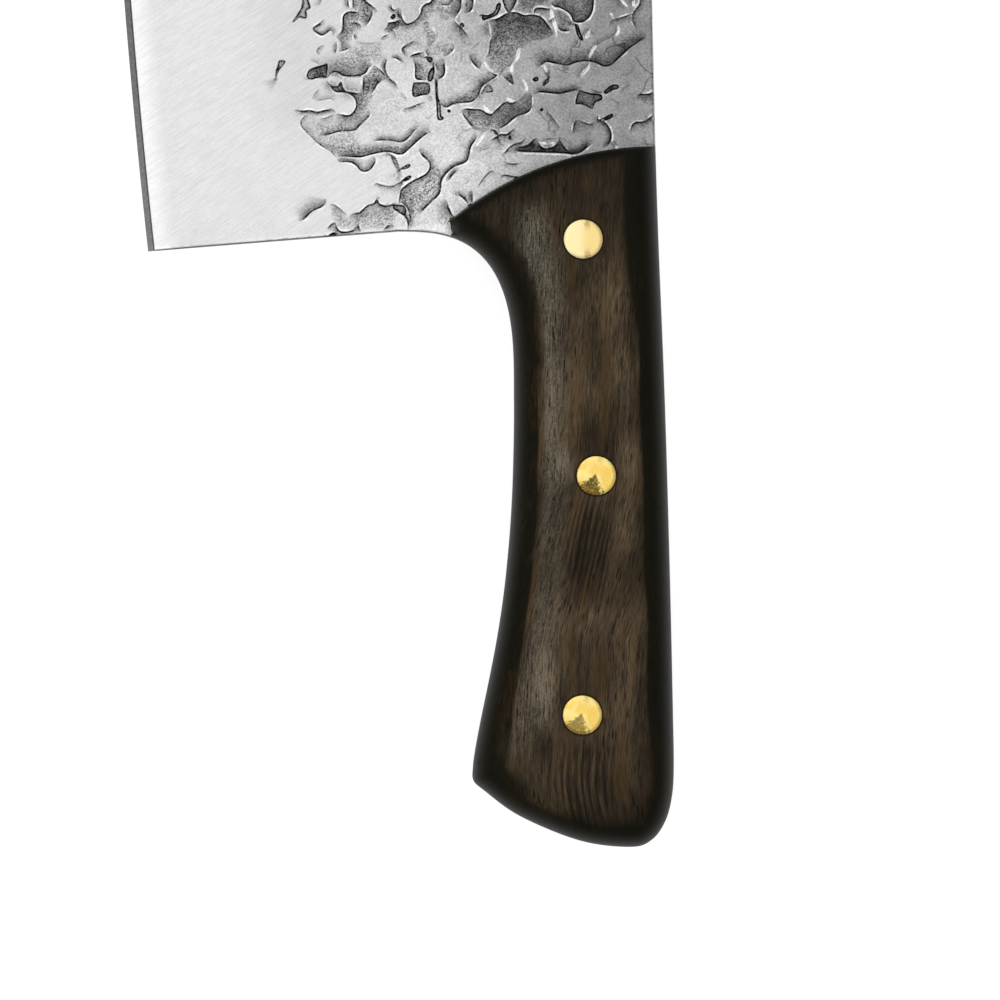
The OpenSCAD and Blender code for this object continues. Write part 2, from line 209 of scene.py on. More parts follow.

# Steps of the forge scale by the heel, drawn in the photograph's frame of 1000 points across: strength, how
# far the painted shade at the foot reaches, and the line. The lower side is on the right hand along the
# line.
# Closed lines and those with a strength over 1 have a weak painted highlight on their rim.
STEPS = [
    (0.9, 5, [(304, -9), (310, 7), (306, 10), (306, 18), (299, 17), (293, 22), (298, 14), (302, 7),
        (304, -9)]),
    (0.6, 3, [(325, -9), (319, 4), (313, 6)]),
    (0.9, 4, [(333, 36), (333, 31), (330, 30), (326, 33), (321, 35), (313, 29), (319, 24), (325, 19)]),
    (1.0, 9, [(337, 36), (341, 33), (343, 27), (343, 18), (345, 14), (349, 12), (356, 12), (361, 14)]),
    (0.7, 6, [(341, 50), (342, 44), (340, 40), (336, 36)]),
    (0.8, 6, [(352, 46), (347, 49), (339, 52)]),
    (1.0, 10, [(372, 7), (372, 14), (369, 21), (364, 27)]),
    (1.0, 5, [(359, -9), (366, 1.5), (372, 6), (375, 9), (378, 13)]),
    (0.8, 4, [(347, -9), (348, 4), (350, 10)]),
    (0.8, 6, [(352, 10), (353, 4), (353, -9)]),
    (1.0, 5, [(349, 25), (354, 22.5), (359, 24), (362, 28)]),
    (0.8, 3, [(355, 40), (354, 34)]),
    (0.4, 4, [(356, 40), (362, 43), (372, 43.5), (378, 41)]),
    (0.8, 3, [(383, 41), (382, 38), (386, 35.5), (390, 34.5)]),
    (1.0, 9, [(385, 30), (388, 26), (389, 23), (395, 22), (400, 20), (404, 24)]),
    (0.5, 3, [(391, 27), (395, 33), (396, 40)]),
    (0.9, 3, [(391, 4), (392, 9), (397, 11)]),
    (0.9, 3, [(399, 8), (399, 14), (402, 20)]),
    (1.0, 12, [(391, 17), (394, 14), (395, 17), (392, 19), (391, 17)]),
    (0.8, 10, [(279, 61), (285, 61), (281, 67), (277, 73), (276, 79), (276, 72), (278, 66), (279, 61)]),
    (0.6, 4, [(322, 55), (319, 54), (317, 51), (320, 47), (325, 45)]),
    (0.8, 3, [(336, 41), (336, 50), (334, 55)]),
    (1.0, 10, [(307, 75), (310, 70), (317, 67), (324, 65), (327, 64), (327, 70), (326, 77), (323, 77),
        (317, 77.5), (312, 79), (308, 78), (307, 75)]),
    (0.4, 2, [(310, 80), (306, 79), (302, 76)]),
    (1.0, 15, [(373, 64), (369, 67), (365, 73), (358, 75.5), (350, 76), (343, 75.5), (338, 72.5), (333, 72),
        (329, 75), (327, 79)]),
    (1.0, 7, [(327, 80), (329, 84), (333, 86.5), (338, 86), (341, 82), (343, 88), (346, 91.5), (352, 92.5),
        (358, 93.5), (362, 91)]),
    (1.0, 9, [(363, 95), (363, 88), (363.5, 81), (364, 75)]),
    (0.7, 5, [(373, 65), (379, 69), (384, 74), (388, 80)]),
    (0.9, 4, [(388, 57), (386, 61), (385, 68), (387, 75), (391, 80), (395, 83), (398, 90)]),
    (1.0, 7, [(385, 77), (382, 79.5), (377, 84), (375, 88), (370, 95)]),
    (1.0, 3, [(404, 62), (401, 61), (396, 58), (391, 57)]),
    (0.5, 4, [(320, 66), (316, 62), (310, 60)]),
    (1.0, 6, [(400, 8), (401, 15), (404, 22), (408, 24), (414, 21.5), (418, 18), (421, 13), (422, 8),
        (426, 4), (431, 2), (437, -9)]),
    (0.7, 4, [(456, -9), (451, 3.5), (445, 5), (440, 4), (437, 1)]),
    (1.0, 9, [(461.5, -9), (460.5, 7), (457, 14), (453, 19)]),
    (0.4, 4, [(453, 19), (446, 19), (441, 16), (440, 10)]),
    (0.9, 8, [(453, 20), (458, 25), (463, 30), (469, 39)]),
    (1.0, 12, [(460, 25), (462, 23), (464, 26), (461, 27), (460, 25)]),
    (1.0, 6, [(474, -9), (472.5, 6), (470, 11), (466, 12.5), (463, 11)]),
    (0.9, 3, [(467, 9), (466, 5), (468, 1)]),
    (1.0, 10, [(482, 15), (488, 15.5), (493, 13), (496, 9), (497, 5), (500, 3), (500, 8), (497, 14),
        (492, 17), (486, 19), (483, 20), (482, 15)]),
    (1.0, 26, [(489, 20), (495, 19.5), (500, 17.5), (506, 14), (512, 12.5), (518, 13), (524, 15.5),
        (532, 15), (538, 16), (543, 19), (547, 24), (551, 30), (554, 35)]),
    (0.35, 4, [(553, 36), (545, 38.5), (536, 40), (530, 42), (524, 46), (519, 52), (515, 60), (511.5, 68)]),
    (1.0, 7, [(511, 71), (512, 77), (513, 84), (507, 79.5), (502, 75)]),
    (0.8, 6, [(486, 58), (489, 53), (490, 46), (491, 40), (495, 35), (499, 31), (503, 30)]),
    (0.8, 8, [(488, 22), (489, 29), (490, 36)]),
    (0.9, 6, [(488, 71), (493, 74), (497, 75.5), (491, 79.5), (486, 83), (482, 88)]),
    (1.0, 7, [(480, 69), (476, 66), (472, 61), (469, 54)]),
    (0.5, 3, [(482, 60), (480, 69)]),
    (0.4, 3, [(470, 50), (475, 46), (479, 42), (482, 40)]),
    (0.7, 5, [(453, 43), (453.5, 48), (451, 52), (446, 55.5), (442, 56)]),
    (0.8, 4, [(430, 57), (427, 54), (426, 49)]),
    (0.9, 3, [(409, 57.5), (405, 54.5), (402, 49), (407, 45), (413, 42), (419, 41)]),
    (1.0, 4, [(409, 57), (414, 54.5), (420, 53), (425, 53)]),
    (1.0, 8, [(428, 79), (419, 79.5), (415.5, 77), (415.5, 66), (413, 59)]),
    (1.0, 12, [(427, 57), (432, 58), (431, 62), (428, 61), (427, 57)]),
    (1.0, 10, [(434, 66), (434, 73), (432, 80), (429, 81), (428, 77), (430, 71), (434, 66)]),
    (1.0, 8, [(443, 58), (444.5, 66), (444.5, 73), (442, 77), (437, 79), (434, 80)]),
    (0.8, 4, [(440, 72), (437, 68), (435, 62)]),
    (0.7, 5, [(423, 23), (427, 22.5), (430, 24)]),
    (0.5, 8, [(437, 30), (437, 38), (434, 44)]),
    (0.6, 3, [(464, 40), (466, 44)]),
    (1.0, 7, [(520, -9), (514, 6), (509, 12), (505, 7), (500, -9)]),
    (0.3, 3, [(518, 74), (522, 78), (526, 86)]),
    (1.0, 10, [(594, -9), (593, 7), (591, 14), (587, 19), (582, 22), (576, 22), (573, 20), (571, 14.5),
        (566, 10.5), (560, 7.5), (554, 6), (551, 1)]),
    (1.0, 6, [(534, 16), (535, 9), (541, 8), (548, 9), (553, 9)]),
    (1.0, 3, [(548, 22), (551, 20), (556, 17)]),
    (1.0, 4, [(572, 30), (570, 30.5), (564, 31), (560, 29.5), (558, 24)]),
    (1.0, 10, [(575, 24), (578, 26), (580, 32), (583, 40), (580, 39), (577, 33), (575, 24)]),
    (0.6, 4, [(578, 37), (577, 43), (572, 49)]),
    (0.5, 5, [(593, 26), (590, 33), (584, 39)]),
    (0.5, 4, [(619, 22), (617, 30), (612, 36), (603, 41), (596, 46), (591, 52), (588, 60)]),
    (0.8, 4, [(609, 27), (612, 20.5), (617, 19), (625, 16.5), (633, 14)]),
    (0.8, 5, [(639, 31), (635, 26), (633, 20), (633, 14), (637, 8), (640, 3), (641, -9)]),
    (0.6, 3, [(617, -9), (621, 4), (627, 6.5)]),
    (0.5, 3, [(632, -9), (634, 7)]),
    (0.6, 3, [(603, 56), (606, 50), (608, 47.5), (615, 45.5), (623, 43), (632, 41)]),
    (1.05, 11, [(647, 36), (638, 42), (630, 47.5), (624, 53), (618, 58.5), (612, 64), (607, 66), (602, 65.5),
        (596, 62.5), (589, 61), (582, 61), (575, 62.5), (568, 65), (560, 64), (552, 62.5), (546, 61.5),
        (541, 65), (537, 68)]),
    (0.6, 6, [(589, 62), (587, 68), (583, 73), (578, 79)]),
    (1.0, 12, [(533, 79), (537, 77), (538, 80), (534, 81), (533, 79)]),
    (1.0, 12, [(549, 78), (548, 82), (543, 86), (545, 81), (549, 78)]),
    (0.3, 3, [(638, 68), (628, 74), (620, 79)]),
    (0.4, 3, [(620, 93), (624, 88), (631, 84)]),
    (1.0, 12, [(336, 114), (342, 115), (349, 115.5), (354, 112), (356.5, 106), (356, 100), (353, 96),
        (348, 93), (343, 92), (336, 91.5), (332, 88), (328.5, 82)]),
    (0.4, 3, [(400, 91), (405, 96), (408, 103)]),
    (0.5, 5, [(336, 103), (333, 99.5), (328, 98.5), (320, 100), (312, 99.5)]),
    (0.5, 4, [(312, 99), (316, 93), (320, 88)]),
    (1.0, 4, [(294, 110), (302, 111), (310, 110.5), (317, 112), (324, 110.5), (330, 109.5), (333, 110),
        (336, 113.5)]),
    (0.6, 7, [(318, 119.5), (326, 118), (332, 115.5), (337, 114)]),
    (0.65, 6, [(338, 158), (336, 157), (332, 152), (328, 149), (322, 146), (316, 141), (311, 136),
        (306, 131), (302, 127), (301, 122), (304, 117), (310, 112)]),
    (0.85, 5, [(370, 110), (369, 116), (364, 121), (359, 126), (355, 130), (346, 131), (338, 131.5),
        (330, 134), (318, 136.5)]),
    (1.0, 9, [(432, 131), (426, 134), (420, 138.5), (414, 144), (408, 149.5), (403, 153.5), (398, 154),
        (391, 152), (384, 151.5), (376, 153), (368, 155), (360, 157), (350, 156.5), (342, 156),
        (337, 157)]),
    (0.9, 5, [(420, 126), (414, 131), (409, 137), (404, 141), (399, 142), (392, 140.5), (382, 140),
        (372, 141)]),
    (1.0, 7, [(374, 156), (375, 161), (373, 166), (369, 170), (364, 171.5), (360, 169.5), (357, 166),
        (352, 162.5), (346, 161.5), (340, 161.5), (337, 159)]),
    (0.8, 10, [(391, 155), (395, 158), (398, 165), (400, 172), (397, 168), (393, 161), (391, 155)]),
    (1.0, 12, [(402, 168), (406, 165.5), (410, 164.5), (409, 167), (404, 169), (402, 168)]),
    (1.0, 12, [(402, 181), (407, 177), (411, 176), (409, 179), (404, 181), (402, 181)]),
    (1.0, 4, [(435.5, 80), (437, 80), (437.5, 95), (440, 104), (441, 116), (443, 117), (443, 119),
        (438, 119), (437, 105), (436, 95), (435.5, 80)]),
    (0.9, 8, [(490, 79.5), (484, 84), (480.5, 89), (478.5, 95), (474, 100), (469, 102), (460, 102.5),
        (453, 104), (447, 107), (442, 105), (438.5, 100)]),
    (0.7, 10, [(482, 92), (486, 86), (490, 86), (493, 91), (488, 92), (482, 92)]),
    (1.0, 12, [(462, 110), (466, 109), (474, 109.5), (481, 110), (486, 113), (491, 114.5), (496, 110.5),
        (501, 105.5), (506, 102.5), (512, 103.5), (518, 100)]),
    (0.5, 3, [(518, 100), (523, 96), (527, 89)]),
    (0.9, 4, [(478, 131), (472, 126), (467, 120), (463.5, 115), (462, 110)]),
    (1.0, 12, [(531, 92), (531.5, 100), (530.5, 109), (526, 113), (519, 115), (513, 119), (507, 124),
        (502, 127), (496, 129.5)]),
    (1.0, 12, [(493, 130), (496, 131), (498, 135), (495, 133), (493, 130)]),
    (0.9, 8, [(490, 141), (496, 137.5), (501, 134.5), (507, 134.5), (512, 131), (516, 128.5)]),
    (1.0, 12, [(509, 136), (511, 136), (511, 139), (509, 139), (509, 136)]),
    (0.5, 4, [(492, 144), (488, 148), (482, 150), (474, 152)]),
    (0.8, 4, [(502, 156), (506, 151.5), (511, 146.5), (516, 144), (522, 142.5), (526, 137)]),
    (1.0, 6, [(514, 147), (520, 147), (526, 146), (531, 143), (534, 139.5), (538, 138.5)]),
    (1.0, 7, [(594, 143), (590, 144.5), (585, 149), (580, 152.5), (573, 154), (563, 153), (550, 152.5),
        (535, 152), (522, 151.5), (511, 150)]),
    (1.0, 6, [(538, 139), (539, 144.5), (542.5, 148), (548, 148.8), (554, 147), (558, 143), (560, 137)]),
    (0.5, 2, [(541, 140), (550, 139), (558, 139)]),
    (1.0, 5, [(561, 138), (562, 144), (566, 149.5), (572, 152)]),
    (1.05, 5, [(583, 90.5), (575, 90), (567, 92), (558, 93.5), (548, 92.5), (538, 92), (534, 95)]),
    (1.0, 9, [(580, 90.5), (590, 93.5), (600, 94.5), (602, 99), (596, 101.5), (593.5, 105), (592.5, 108.5),
        (586, 105.5), (580, 103.5), (576, 103.5), (577, 97), (580, 90.5)]),
    (1.0, 10, [(604, 92), (608, 88), (613, 85), (618, 85.5), (618, 88), (612, 90), (606, 93.5), (604, 92)]),
    (0.7, 3, [(592, 89), (597, 92), (604, 92)]),
    (1.0, 9, [(637, 99), (639, 94.5), (645, 94.5), (651, 93), (655, 88)]),
    (0.9, 5, [(630.5, 133), (632, 126), (636, 122.5), (643, 122), (648, 119.5), (655, 113)]),
    (1.0, 10, [(600, 120), (606, 117), (612, 114), (612, 117), (606, 120), (601, 121), (600, 120)]),
    (0.9, 4, [(598, 114), (598, 119.5), (604, 122), (608.5, 127), (611, 133), (611, 139), (608, 145),
        (603, 149)]),
    (0.9, 8, [(573, 133), (574, 126), (576, 120)]),
    (0.6, 5, [(576, 120), (583, 122.5), (590, 124.5), (598, 123)]),
    (0.7, 3, [(546, 107), (549, 114), (555, 121), (561, 130)]),
    (1.0, 12, [(540, 110), (542, 108), (543, 110), (541, 111), (540, 110)]),
    (0.3, 3, [(552, 129), (558, 135)]),
    (0.4, 3, [(645, 137), (646, 143), (649, 147)]),
    (0.4, 3, [(613, 141), (616, 144), (617, 148)]),
    (1.0, 11, [(326, 198.5), (325, 203), (321, 207), (315, 209.5), (310, 213), (305, 218), (299, 221.5)]),
    (0.7, 10, [(329, 205.5), (333, 204.5), (338, 207.5), (343, 212), (348, 216)]),
    (1.0, 8, [(349, 217), (354, 214), (360, 212.5), (364, 208.5), (369, 205), (374, 203.5), (377, 199.5),
        (379, 203.5), (385, 206), (391, 205), (396, 202)]),
    (0.8, 4, [(374, 187), (376, 183.5), (381, 185), (388, 186.5), (394, 186), (398, 183.5), (404, 180)]),
    (1.0, 5, [(335.5, 222), (336.5, 227), (339.5, 231), (345, 232), (351, 231), (356, 228), (358, 223.5)]),
    (1.0, 4, [(358, 223), (359, 228), (361, 232)]),
    (0.8, 5, [(327, 229), (332, 224), (336, 222)]),
    (1.0, 12, [(330, 234.5), (333, 233), (337, 233.5), (335, 235.5), (331, 235.5), (330, 234.5)]),
    (0.9, 5, [(383, 230.5), (387, 226.5), (391, 225), (395, 227)]),
    (1.0, 7, [(399, 205), (400, 197), (401.5, 190), (405, 186.5), (412, 181.5), (420, 177.5), (426, 174),
        (429.5, 169), (430, 164), (427, 159.5), (422, 155), (419, 148)]),
    (1.0, 3.5, [(477, 134), (475, 140), (471, 146), (469.5, 152), (468, 158), (466, 161.5), (461, 164),
        (455, 166), (449, 170.5), (444, 176), (441, 182), (440.5, 190), (438, 195.5), (433, 200),
        (428, 205), (423, 210), (419, 215)]),
    (1.0, 3, [(460, 167), (453, 174.5), (447, 182)]),
    (1.0, 5, [(408, 230), (408, 223), (405.5, 217), (401, 213.5), (396, 212)]),
    (1.0, 10, [(393, 205), (404, 206), (406, 212), (404, 215), (398, 211), (394, 209), (393, 205)]),
    (0.8, 5, [(411, 228), (410, 218), (408.5, 210), (405, 205), (399, 201.5)]),
    (1.0, 11, [(445, 199), (448, 206), (451.5, 214), (455, 220)]),
    (0.9, 4, [(470.5, 207), (467, 202), (462, 197), (457, 194.5), (452, 194)]),
    (0.9, 4, [(471.5, 190), (472.5, 198), (472, 205)]),
    (0.5, 4, [(478, 187), (482, 181), (486, 176), (491, 171.5), (497, 171)]),
    (0.6, 4, [(500, 177), (506, 175.5), (513, 177), (522, 177.5)]),
    (0.6, 4, [(503, 161), (508, 163.5), (514, 164.5), (521, 163)]),
    (1.0, 10, [(414, 83), (428, 83.5), (429, 93), (421, 95), (414, 96.5), (412.5, 90), (414, 83)]),
    (0.8, 4, [(403, 112.5), (405, 109), (411, 107.5), (418, 104.5), (426, 102)]),
    (0.3, 3, [(434, 113), (430, 118), (424, 121)]),
    (1.0, 12, [(448, 110), (450, 110), (450, 112), (448, 112), (448, 110)]),
    (0.5, 3, [(416, 121), (419, 125)]),
    (0.6, 3, [(430, 95), (432.5, 101)]),
]

# Ridges between hollows with a painted highlight, in the same frame: strength, and the line
RIDGES = [
    (1.1, [(488, 22), (490, 30), (492, 37)]),
    (1.0, [(525, 42), (519, 50), (517, 58), (512, 67), (511, 78)]),
    (1.4, [(551, 7), (552, 14), (554, 22), (556, 30), (557, 39)]),
    (0.8, [(592, 26), (588, 34), (585, 39)]), (0.9, [(600, 41), (594, 48), (590, 56), (588, 61)]),
    (0.7, [(618, 24), (618, 32), (615, 37)]), (0.9, [(590, 62), (589, 67), (585, 71), (579, 77)]),
    (0.8, [(539, 68), (544, 66), (547, 73)]), (1.1, [(484, 60), (488, 68), (497, 75)]),
    (0.55, [(431, 24), (434, 30), (437, 37), (434, 46)]), (0.9, [(482, 104), (491, 113), (497, 109)]),
    (0.55, [(518, 75), (524, 82), (527, 89), (522, 96), (515, 100)]),
    (0.8, [(505, 96), (509, 100), (514, 101)]), (0.8, [(533, 95), (531, 102), (530, 110)]),
    (0.8, [(621, 0), (628, 7)]), (0.8, [(633, 0), (634, 7)]), (0.7, [(610, 12), (614, 18)]),
    (0.8, [(538, 140), (541, 143), (557, 142), (560, 138)]),
    (0.9, [(475, 148), (482, 138), (492, 128), (497, 135)]), (0.7, [(614, 143), (618, 149)]),
]

# Floors of wide hollows that the grinding didn't reach, in the same frame: how dark, and the outline
FLOORS = [
    (1.2, [(326, 78), (330, 62), (345, 48), (356, 41), (372, 44), (382, 38), (387, 62), (385, 68), (373, 64),
           (366, 73), (340, 74)]),
    (1.1, [(303, 124), (310, 114), (326, 119), (346, 117), (358, 130), (366, 152), (340, 155), (320, 144)]),
    (0.35, [(346, 117), (358, 104), (366, 96), (384, 80), (398, 90), (408, 104), (404, 139), (372, 141),
           (358, 130)]),
    (1.5, [(345, 14), (351, 5), (353, -9), (364, -9), (372, 6), (371, 16), (364, 27), (354, 40), (340, 50),
           (338, 37)]),
    (2.8, [(364, 76), (374, 65), (388, 79), (376, 86), (366, 98), (357, 98)]),
    (1.9, [(400, 190), (428, 174), (430, 163), (436, 164), (450, 170), (445, 176), (440, 193), (419, 216),
           (402, 230)]),
    (1.4, [(330, 206), (348, 216), (364, 209), (392, 206), (400, 214), (394, 231), (336, 230)]),
    (0.25, [(436, 196), (447, 200), (455, 220), (449, 229), (412, 229), (420, 215)]),
    (0.9, [(418, 19), (426, 5), (440, 2), (460, -4), (461, 8), (453, 19), (444, 19), (436, 15), (424, 23)]),
    (1.2, [(421, 25), (428, 24), (436, 32), (437, 40), (432, 50), (427, 53), (426, 42), (424, 34)]),
    (0.8, [(437, 42), (448, 40), (454, 48), (446, 56), (432, 57), (428, 50)]),
    (0.5, [(388, 28), (404, 25), (418, 21), (425, 40), (426, 52), (404, 48), (392, 40)]),
    (4.0, [(384, 31), (388, 24), (400, 20), (405, 25), (396, 28), (392, 34)]),
    (1.6, [(357, 112), (357, 99), (352, 94), (366, 97), (374, 90), (380, 84), (372, 100), (364, 112)]),
    (2.4, [(353, -9), (364, -9), (372, 6), (370, 17), (363, 26), (356, 22), (352, 12)]),
    (1.5, [(553, 8), (562, 10), (570, 16), (574, 24), (566, 29), (560, 27), (557, 18)]),
    (1.3, [(446, 106), (456, 98), (466, 92), (474, 86), (486, 78), (488, 84), (478, 97), (470, 103),
           (456, 105)]),
    (1.8, [(316, 142), (340, 141), (372, 145), (402, 146), (412, 141), (404, 153), (384, 151), (360, 156),
           (338, 156)]),
    (2.8, [(399, 189), (410, 184), (416, 195), (412, 212), (404, 212)]),
    (3.2, [(512, 9), (520, -9), (550, -9), (551, 5), (540, 7), (533, 14), (520, 12)]),
    (2.5, [(511, 73), (513, 84), (505, 77)]),
    (4.0, [(330, 74), (338, 72), (350, 75), (362, 73), (365, 70), (361, 77), (345, 78), (333, 77)]),
    (4.0, [(512, 150), (522, 146), (534, 140), (539, 146), (548, 149), (556, 146), (560, 140), (564, 149),
           (572, 153), (550, 152)]),
    (2.1, [(489, 21), (506, 15), (518, 14), (538, 17), (548, 25), (554, 35), (530, 42), (519, 52), (512, 68),
           (503, 76), (488, 70), (486, 58), (490, 46), (489, 30)]),
    (1.5, [(551, -9), (554, 6), (566, 10), (573, 20), (582, 22), (591, 14), (594, -9)]),
    (0.8, [(466, 109), (493, 114), (518, 100), (531, 94), (530, 110), (496, 129), (478, 131), (467, 120)]),
    (0.35, [(524, 52), (560, 44), (600, 50), (608, 64), (570, 62), (546, 60), (520, 66)]),
    (1.2, [(415, 62), (428, 62), (434, 78), (418, 79)]),
    (2.4, [(413, 84), (429, 83), (430, 95), (414, 95)]),
    (0.7, [(577, 91), (602, 94), (603, 101), (590, 109), (576, 103)]),
    (4.0, [(605, 92), (612, 85), (617, 86), (611, 92)]),
    (3.0, [(308, 70), (326, 66), (325, 79), (309, 77)]),
]

# Dark and light clouds on the wood, which also make the painted sheen weaker or stronger, in the same frame:
# place, half the width and the length in mm, and the change of tone
CLOUDS = [
    (580, 283, 4.5, 6, -0.15), (562, 335, 3.2, 9, -0.40), (613, 305, 3.0, 9, 0.40),
    (600, 432, 5.0, 8, -0.45), (620, 375, 3.5, 9, 0.45), (556, 508, 4.0, 9, -0.40),
    (588, 548, 6.5, 11, -0.48), (626, 525, 3.0, 7, 0.5), (590, 622, 11, 5.5, 0.3), (544, 745, 3.0, 6, -0.5),
    (626, 700, 4.0, 8, 0.2), (630, 462, 2.2, 6, 0.7), (545, 692, 3.0, 11, 1.2), (538, 222, 3.6, 6, 0.9),
    (548, 568, 5, 8, -0.40), (565, 466, 2.6, 5, 0.9), (548, 420, 2.4, 9, 0.3),
]

# Where the forge scale begins to show and where it shows in full, by the distance from the edge, and how the
# satin lines of the grinding lean
FORGED_FROM = 34.0
FORGED_FULL = 62.0
SATIN_LEAN = math.radians(-33)

# Where the wood's finger side and its butt begin and end, across the handle and along it
FINGER_PART = (-19, -14)
BUTT_PART = (-117, -103)

# Stripes of growth layers by the middle and the rear rivet, in mm: how far towards the back of the hand and
# the butt their middle is, half the width and the length of their area, and from stripe to stripe
STRIPES = {"middle": (-1.5, 13.0, 5.2, 11.5, 1.02), "rear": (0.0, 13.5, 7.5, 10.5, 1.25)}

# Colours of the wood, and of the sheen, dark reflections and rivet shadows painted on it
BLACK_BROWN = (0.006, 0.0045, 0.0030)
BROWN = (0.137, 0.094, 0.054)
AMBER = (0.085, 0.045, 0.012)
PAINTED_SHEEN = (0.204, 0.191, 0.147)
ROUNDED_DARK_REFLECTION = (0.0052, 0.0047, 0.0026)
WARM_BORDER = (0.042, 0.022, 0.006)
BUTT_SHEEN = (0.075, 0.062, 0.036)
PORE_BLACK = (0.002, 0.0015, 0.001)
RIVET_SHADOW = (0.010, 0.006, 0.003)
WOOD_TINT = (1.0, 0.98, 0.80)

# Colours of the brass and of the reflections painted on it, and how much of the richer colour and of the
# painted dark wedge each rivet has
PALE_BRASS = ((0.94, 0.80, 0.43), (0.89, 0.68, 0.28))
RICH_BRASS = ((0.85, 0.58, 0.12), (0.95, 0.71, 0.21))
BRIGHT_BRASS = (0.99, 0.84, 0.34)
DEEP_BRASS = (0.84, 0.52, 0.10)
DARK_REFLECTION_BRASS = ((0.022, 0.015, 0.003), (0.32, 0.21, 0.045))
RICHNESS = {"front": 0.0, "middle": 1.0, "rear": 0.8}

# Light: the dark room as soft fill and in reflections, and soft boxes that look straight down, in metres:
# how far to the side of the handle's front corner they are, their width, and how bright they are
ROOM_FILL = 0.72
ROOM_SEEN = 0.5
LAMPS = {"overhead": (0.01, 0.62, 0.65), "left": (-0.415, 0.23, 0.95)}
LAMP_LENGTH = 1.06
LAMP_UP_BLADE = 0.14
LAMP_HEIGHT = 1.0

# The camera and the white surroundings, in metres
CAMERA_DISTANCE = 2.0
SENSOR_WIDTH = 36
TABLE_RADIUS = 9.0
BACKDROP_HEIGHT = 1.0
BACKDROP_SIDES = 48
TABLE_GLOW = 0.84
TABLE_SHADE = 0.35
PAPER = 0.8


# Curves


def smooth_curve(points, steps=8):
    """A smooth curve through points, without its last point."""
    points = np.asarray(points, float)
    count = len(points)
    here = np.arange(count - 1)
    a = points[np.maximum(here - 1, 0)]
    b = points[here]
    c = points[here + 1]
    d = points[np.minimum(here + 2, count - 1)]
    rows = []
    for step in range(steps):
        t = step / steps
        rows.append((2 * b + (c - a) * t + (2 * a - 5 * b + 4 * c - d) * t ** 2
                     + (3 * b - a - 3 * c + d) * t ** 3) / 2)
    return np.stack(rows, 1).reshape(-1, 2)


def evenly(points, spacing):
    """Points at an even distance along a line, with both of its ends."""
    points = np.asarray(points, float)
    steps = np.hypot(*np.diff(points, axis=0).T)
    along = np.concatenate([[0], np.cumsum(steps)])
    count = max(2, int(round(along[-1] / spacing)) + 1)
    wanted = np.linspace(0, along[-1], count)
    return np.stack([np.interp(wanted, along, points[:, 0]), np.interp(wanted, along, points[:, 1])], 1)


def joined(lines):
    """One closed ring from lines that start where the one before them ends."""
    return np.vstack([line[:-1] for line in lines])


def rounded(before, corner, after, radius, steps=24):
    """A corner between two straight sides, rounded to a radius."""
    u = (before - corner) / np.linalg.norm(before - corner)
    w = (after - corner) / np.linalg.norm(after - corner)
    half = math.acos(u @ w) / 2
    middle = corner + (u + w) / np.linalg.norm(u + w) * radius / math.sin(half)
    start = corner + u * radius / math.tan(half)
    end = corner + w * radius / math.tan(half)
    share = np.linspace(0, 1, steps)[:, None]
    rays = (start - middle) * (1 - share) + (end - middle) * share
    return middle + rays / np.linalg.norm(rays, axis=1)[:, None] * radius


def edge_x(y):
    return BELLY_MIDDLE[0] - np.sqrt(BELLY_RADIUS ** 2 - (y - BELLY_MIDDLE[1]) ** 2)


def handle_side():
    """The handle's outline from its front corner at the spine, round the butt, to the turn at the heel."""
    back = [(s[1] * BACK_RISE, -s[0] * HANDLE_LENGTH) for s in BACK_SHARES]
    butt = [(BACK_RISE - s[1] * BUTT_WIDTH, -s[0] * HANDLE_LENGTH) for s in BUTT_SHARES]
    finger = [(-GRIP_REACH - s[1] * (BUTT_REACH - GRIP_REACH), -s[0] * HANDLE_LENGTH) for s in FINGER_SHARES]
    angle = np.linspace(0, math.pi / 2, 60)
    across = np.cos(angle) ** (2 / QUARTER_POWER)
    along = 1 - np.sin(angle) ** (2 / QUARTER_POWER)
    across[-1] = 0
    quarter = np.stack([-TURN_REACH + across * (TURN_REACH - GRIP_REACH),
                        -TURN_DROP - along * (GRIP_DROP - TURN_DROP)], 1)
    start = smooth_curve(back + butt + finger + [tuple(quarter[0])])
    return np.vstack([start, quarter])


def steel_outline(spacing):
    """The outline of blade and tang, anticlockwise from the front corner of the handle."""
    turn = np.array([-TURN_REACH, -TURN_DROP])
    heel = np.array([-HEEL_WIDTH, -HEEL_DROP])
    nose_spine = np.array([-BLADE_LENGTH * math.tan(SPINE_LEAN), BLADE_LENGTH])
    nose_edge = np.array([edge_x(BLADE_LENGTH), BLADE_LENGTH])
    apex = (nose_spine + nose_edge) / 2 + np.array([0, 2 * NOSE_BOW])
    tangent = np.array([BELLY_MIDDLE[1] - nose_edge[1], nose_edge[0] - BELLY_MIDDLE[0]])
    edge_corner = rounded(apex, nose_edge, nose_edge + tangent, NOSE_EDGE_RADIUS)
    spine_corner = rounded(np.zeros(2), nose_spine, apex, NOSE_SPINE_RADIUS)
    edge_y = np.linspace(heel[1], edge_corner[-1][1], 200)
    share = np.linspace(0, 1, 40)[:, None]
    bow = (edge_corner[0] * (1 - share) ** 2 + apex * 2 * share * (1 - share)
           + spine_corner[-1] * share ** 2)
    lines = [
        handle_side()[::-1],
        [np.zeros(2), spine_corner[0]],
        spine_corner,
        bow[::-1],
        edge_corner,
        np.stack([edge_x(edge_y), edge_y], 1)[::-1],
        [heel, turn],
    ]
    return joined([evenly(line, spacing) for line in lines])


